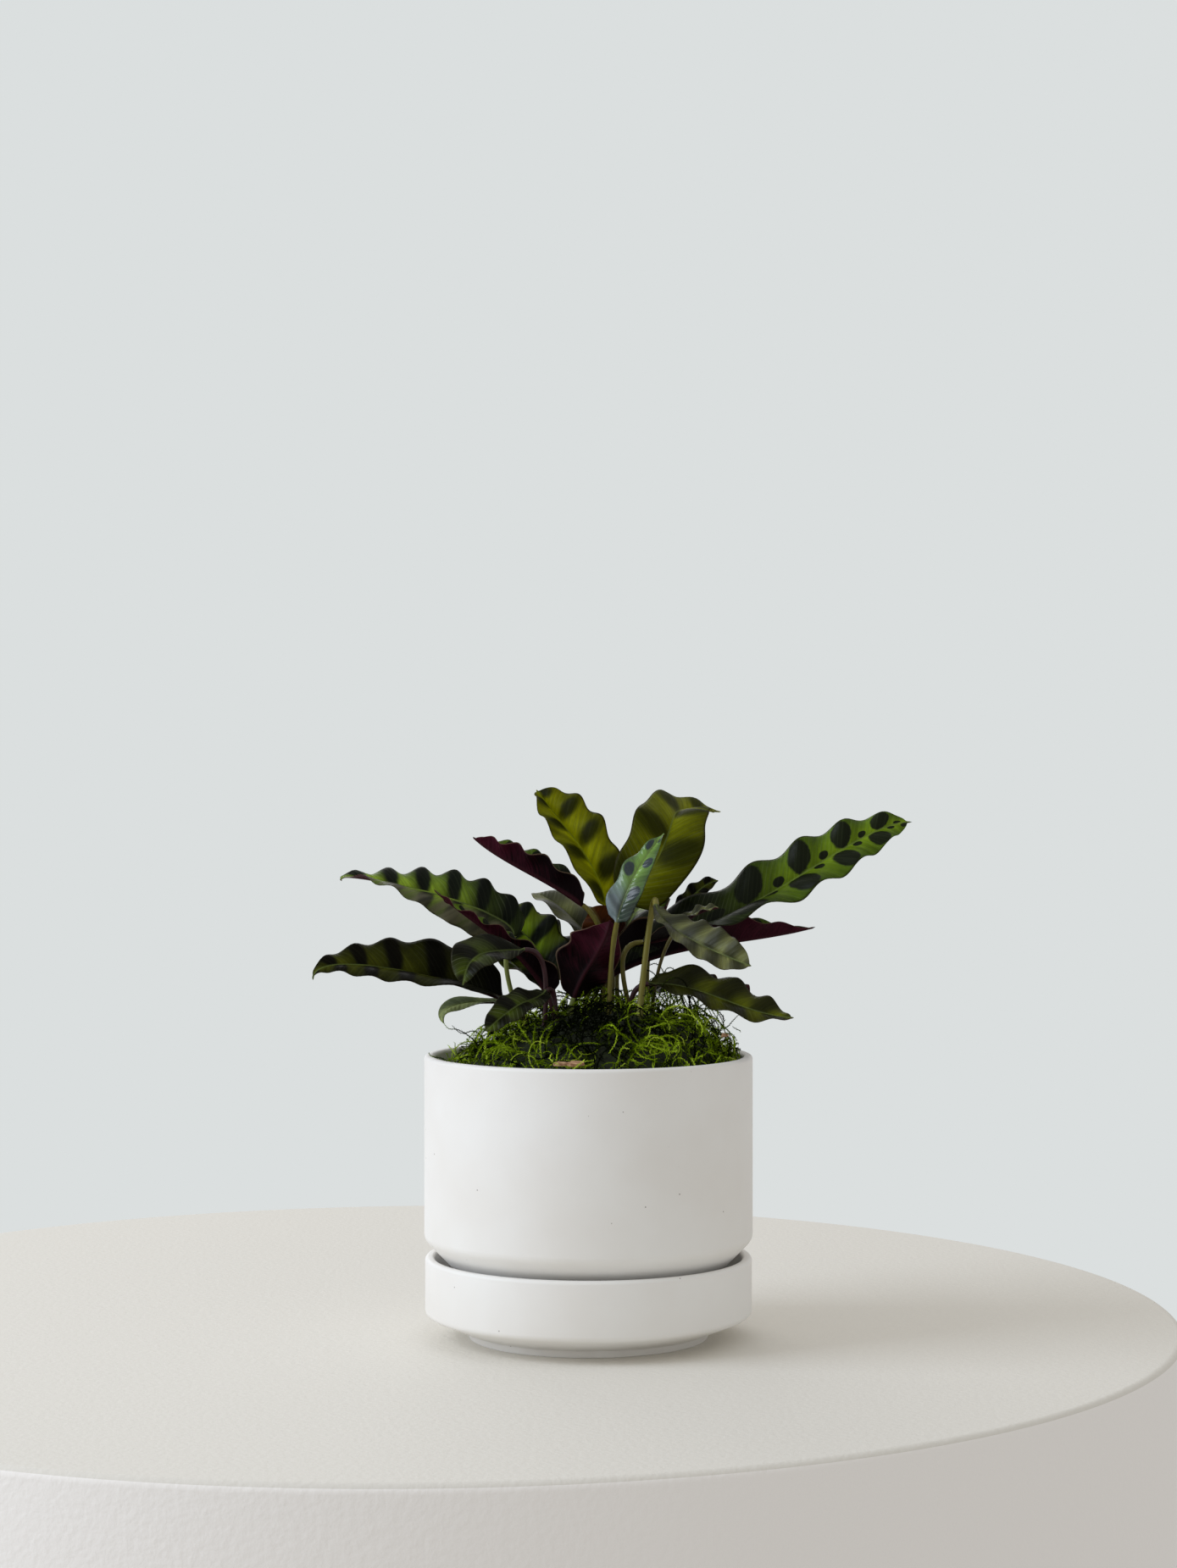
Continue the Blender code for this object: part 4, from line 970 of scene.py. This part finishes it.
# Curves of the strands that are scattered, in millimetres: each starts at its root and runs mostly along +X.
STRANDS = [
    [(0, 0, 0), (4, 0.8, 2.4), (9, 0.2, 3.8), (14, -2.4, 3.0), (17, -6.0, 1.6)],
    [(0, 0, 0), (3, -1.2, 3.4), (7, -2.0, 5.4), (12, 0.8, 5.0), (15, 4.6, 2.4), (14, 8.0, 1.0)],
    [(0, 0, 0), (5, 2.2, 1.6), (10, 2.8, 3.0), (15, 0.2, 4.2), (17, -4.2, 4.6), (14.6, -7.4, 4.0)],
    [(0, 0, 0), (1.6, 0.6, 4.2), (4.8, 1.2, 7.2), (9.2, 0.4, 7.8), (12.6, -2.2, 5.4), (13.6, -5.4, 2.6)],
    [(0, 0, 0), (4, -2.6, 1.2), (10, -3.0, 1.8), (14, 1.0, 2.8), (12.2, 5.6, 3.6), (7.6, 6.4, 3.0)],
    [(0, 0, 0), (0.8, -0.2, 3.6), (2.4, -1.2, 7.2), (5.6, -1.0, 9.6)],
]
# Groups of loose shoots: how many, about which place and how far from it, their length, height and turn.
LOOSE = [
    (20, (46, 6), 14, 32, 17, 4.6), (14, (34, -44), 16, 24, 5, 6.4), (12, (-40, -30), 14, 24, 5, 3.0),
    (12, (0, -52), 22, 22, 4, 4.0), (10, (58, -22), 9, 20, 6, 3.6), (26, (0, 0), 58, 26, 6, 3.4),
]
# Single shoots: the long runner over the front, strays at the left, one over the rim, and three at the right.
SINGLE = [
    [(2.3, -25, 155), (9, -27, 156), (15.4, -29, 153), (22, -31, 150.5), (28.4, -33, 149.5), (38, -36, 147),
     (45, -38, 142)],
    [(-50, -20, 136), (-54, -20, 140), (-60, -20, 143.5), (-64, -20, 144), (-66.6, -20, 147.2)],
    [(-46, -26, 138), (-52, -24, 143), (-58, -22, 142), (-62, -20, 145)],
    [(-52, -28, 137), (-58, -37, 134.4), (-61.5, -41, 132), (-67, -32, 131.6), (-71.5, -25, 131.8),
     (-73, -20, 132.8)],
    [(53, 0, 146), (54.6, 1, 154), (53.4, 1, 162), (54.4, 0, 169)],
    [(60, -2, 142), (64, -1, 143), (67, 0, 146), (70.5, 1, 149.5)],
    [(58, -26, 138), (63, -24, 142), (66, -20, 141), (68, -16, 138)],
]
# Bark chips, in millimetres: place, length, width and turn.
CHIPS = [((-5.5, -65.5, 132.2), 9, 4.5, 14), ((-13, -65, 132), 7, 3.5, -35), ((62, -24, 141.2), 4.5, 2.5, 50),
         ((-30, 52, 137), 9, 4, 20), ((38, 46, 139), 8, 4, -50)]


def loose_path(rng, place, spread, length, rise, turn):
    """A shoot that leaves the mound, rises in a curling arc and comes back down, inside the pot's wall."""
    angle, far = rng.uniform(0, math.tau), spread * math.sqrt(rng.random())
    x, y = place[0] + far * math.cos(angle), place[1] + far * math.sin(angle)
    heading, bend = rng.uniform(0, math.tau), rng.choice((-1, 1)) * turn * rng.uniform(0.5, 1.3)
    lift, steps, points = rise * rng.uniform(0.5, 1.3), 8, []
    for i in range(steps + 1):
        r = math.hypot(x, y)
        if r > MOSS_ROOM:
            x, y = x * MOSS_ROOM / r, y * MOSS_ROOM / r
        ground = moss_top(min(r, MOSS_RADIUS), math.atan2(y, x))
        points.append((x, y, ground - 1 + lift * math.sin(math.pi * min(i / steps * 1.15, 1))))
        heading += bend / steps
        x += length / steps * math.cos(heading)
        y += length / steps * math.sin(heading)
    return points


def chip(name, place, length, width, turn):
    """A split flake of bark, thicker in the middle."""
    rng = random.Random(name)
    rim = [(q, 1 + rng.uniform(-0.18, 0.18)) for q in (math.radians(a) for a in range(0, 360, 36))]
    low = [(length / 2 * k * math.cos(q), width / 2 * k * math.sin(q), -0.5 + rng.uniform(-0.2, 0.2)) for q, k in rim]
    high = [(x * 0.92, y * 0.9, 0.6 + rng.uniform(-0.2, 0.3)) for x, y, _ in low]
    points = low + high + [(0, 0, -0.8), (0, 0, 1.1)]
    n = len(rim)
    faces = [(i, (i + 1) % n, n + (i + 1) % n, n + i) for i in range(n)]
    faces += [((i + 1) % n, i, 2 * n) for i in range(n)] + [(n + i, n + (i + 1) % n, 2 * n + 1) for i in range(n)]
    place = Matrix.Translation(place) @ Matrix.Rotation(math.radians(turn), 4, "Z") @ Matrix.Rotation(0.25, 4, "X")
    mesh = bpy.data.meshes.new(name)
    mesh.from_pydata([place @ Vector(p) * MM for p in points], [], faces)
    obj = bpy.data.objects.new(name, mesh)
    bpy.context.scene.collection.objects.link(obj)
    return obj


class CALATHEA_OT_moss(bpy.types.Operator):
    """Grow the moss carpet over its mound, with loose shoots and bark chips"""

    bl_idname = "calathea.moss"
    bl_label = "Moss"

    def execute(self, context):
        looks = context.scene.calathea_moss
        living = moss_material(looks)
        mound = bpy.data.objects.new("moss_mound", mound_mesh("moss_mound", drop=2.4))
        context.scene.collection.objects.link(mound)
        # Dead moss and humus under the living shoots: nearly black, crumbly.
        humus = dull_material("Old moss and humus", "0E1206", "26300F", (500.0, 500.0, 500.0), 4.0, (0.9, 0.001),
                              0.95)
        mound.data.materials.append(humus)
        on_plant(mound, "moss", "moss")
        strand = strand_tree()
        kit = bpy.data.collections.new("Strands")
        for i, points in enumerate(STRANDS):
            values = {"Moss": living, "Shade": (i % 3) / 2}
            shoot = grown(f"strand_{i}", strand, values, path_curve(f"strand_path_{i}", [points]))
            context.scene.collection.objects.unlink(shoot)
            kit.objects.link(shoot)
        carpet = carpet_tree()
        for layer in range(3):
            base = bpy.data.objects.new("moss_seed", mound_mesh("moss_seed", 30, 90, 2.0))
            values = {"Strands": kit, "Moss": living, "Seed": looks.seed + layer, "Density": looks.density}
            piece = grown(f"moss_carpet_{layer + 1}", carpet, values, base)
            on_plant(piece, "moss")
        for shoot in list(kit.objects):
            bpy.data.objects.remove(shoot, do_unlink=True)
        bpy.data.collections.remove(kit)
        rng = random.Random(looks.seed)
        loose = [loose_path(rng, *group) for count, *group in LOOSE for _ in range(count)]
        for name, paths, shade in (("moss_loose_shoots", loose, 1.6), ("moss_single_shoots", SINGLE, 1.9)):
            piece = grown(name, strand, {"Moss": living, "Shade": shade}, path_curve(name + "_path", paths))
            on_plant(piece, "moss")
        # Dry pine bark: pinkish-brown flakes with a dull, fibrous break.
        bark = dull_material("Pine bark", "8A5E40", "DDB68C", (200.0, 1500.0, 800.0), 3.0, (0.6, 0.0005), 0.8)
        for i, numbers in enumerate(CHIPS):
            flake = chip(f"bark_chip_{i + 1}", *numbers)
            face_outward(flake)
            flake.data.materials.append(bark)
            on_plant(flake, "moss")
        return {"FINISHED"}


class CALATHEA_OT_leaves(bpy.types.Operator):
    """Grow every leaf with its petiole"""

    bl_idname = "calathea.leaves"
    bl_label = "Leaves"

    def execute(self, context):
        sizes = context.scene.calathea_leaves
        materials = leaf_materials(sizes)
        tree = leaf_tree()
        for number, item in enumerate(LEAVES):
            piece = grown(item["name"] + "_blade", tree, leaf_values(item, number, sizes, materials))
            on_plant(piece, "leaf", item["name"])
        return {"FINISHED"}


class CALATHEA_OT_stage(bpy.types.Operator):
    """Set the floor, the soft light and the camera"""

    bl_idname = "calathea.stage"
    bl_label = "Stage"

    def execute(self, context):
        scene, looks = context.scene, context.scene.calathea_stage
        # A round table top, 720 mm across, with its edge rounded by 4 mm.
        floor = turned("pale_floor", [(0, 0), (356, 0), *arc(356, -4, 4, 90, 0), (360, -700), (0, -700)], 256)
        floor.data.transform(Matrix.Translation((-0.077, 0.067, 0)))
        face_outward(floor)
        # Rolled wall paint: matt, with an orange-peel grain of about 3 mm.
        # The side gets a lighter copy of the paint: painted light on it.
        for name, paint in (("Rolled matt paint", looks.floor), ("Rolled matt paint on the side", looks.floor_side_painted_lighter)):
            coat = dull_material(name, paint, None, (330.0, 330.0, 330.0), 3.0, (0.35, 0.001), 0.8, gloss=0.25)
            floor.data.materials.append(coat)
        for face in floor.data.polygons:
            face.material_index = int(face.center.z < -2 * MM)

        for name, place, aim, size, power, tint in (
                ("Window", (-1.9, -0.5, 1.15), (0, 0, 0.12), (1.3, 1.5), looks.window, "E6F0FF"),
                ("Far window", (-0.6, 1.9, 1.2), (0, 0, 0.15), (1.4, 1.0), looks.window * 0.25, "FFFFFF")):
            light = bpy.data.lights.new(name, "AREA")
            light.shape, (light.size, light.size_y) = "RECTANGLE", size
            light.energy, light.color = power, linear(tint)
            lamp = bpy.data.objects.new(name, light)
            lamp.location = place
            lamp.rotation_euler = (Vector(aim) - Vector(place)).to_track_quat("-Z", "Y").to_euler()
            scene.collection.objects.link(lamp)

        world = bpy.data.worlds.new("Soft studio")
        scene.world = world
        world.use_nodes = True
        world.node_tree.nodes.clear()
        put = partial(add_node, world.node_tree)
        # The room is a little brighter at the left and behind.
        way = put("ShaderNodeTexCoord").outputs["Generated"]
        lean = put("V_DOT_PRODUCT", way, (-0.04, 0.05, 0.0)).outputs["Value"]
        glow = put("MULTIPLY", put("ADD", lean, 0.6), looks.room)
        room = put("ShaderNodeBackground", {"Color": "F1F0EE", "Strength": glow})
        seen = put("ShaderNodeBackground", {"Color": looks.wall, "Strength": 1.0})
        mixed = put("ShaderNodeMixShader", put("ShaderNodeLightPath").outputs["Is Camera Ray"], room, seen)
        put("ShaderNodeOutputWorld", {"Surface": mixed})
        scene.view_settings.view_transform = "Standard"

        lens = bpy.data.cameras.new("Photograph")
        lens.sensor_fit = "AUTO"
        lens.sensor_width = 36.0
        lens.lens = FOCAL_PIXELS * 36.0 / PHOTO[1]
        camera = bpy.data.objects.new("Photograph", lens)
        camera.location = (0, -CAMERA_BACK * MM, CAMERA_HIGH * MM)
        camera.rotation_euler = (math.pi / 2, 0, 0)
        scene.collection.objects.link(camera)
        scene.camera = camera
        return {"FINISHED"}


class CALATHEA_PT_panel(bpy.types.Panel):
    """Lists the pieces in the order in which they are made"""

    bl_label = "Potted Calathea"
    bl_idname = "CALATHEA_PT_panel"
    bl_space_type = "VIEW_3D"
    bl_region_type = "UI"
    bl_category = "Calathea"

    def draw(self, context):
        for kind in OPERATORS:
            self.layout.operator(kind.bl_idname)


SETTINGS = {"calathea_leaves": LeafSettings, "calathea_moss": MossSettings, "calathea_pot": PotSettings,
            "calathea_stage": StageSettings}
OPERATORS = (CALATHEA_OT_stage, CALATHEA_OT_pot, CALATHEA_OT_soil, CALATHEA_OT_moss, CALATHEA_OT_leaves)


def register():
    for kind in (*SETTINGS.values(), *OPERATORS, CALATHEA_PT_panel):
        bpy.utils.register_class(kind)
    for name, kind in SETTINGS.items():
        setattr(bpy.types.Scene, name, PointerProperty(type=kind))


def unregister():
    for name in SETTINGS:
        delattr(bpy.types.Scene, name)
    for kind in (CALATHEA_PT_panel, *reversed(OPERATORS), *reversed(SETTINGS.values())):
        bpy.utils.unregister_class(kind)


def main():
    register()
    for kind in OPERATORS:
        group, name = kind.bl_idname.split(".")
        getattr(getattr(bpy.ops, group), name)()


if __name__ == "__main__":
    main()
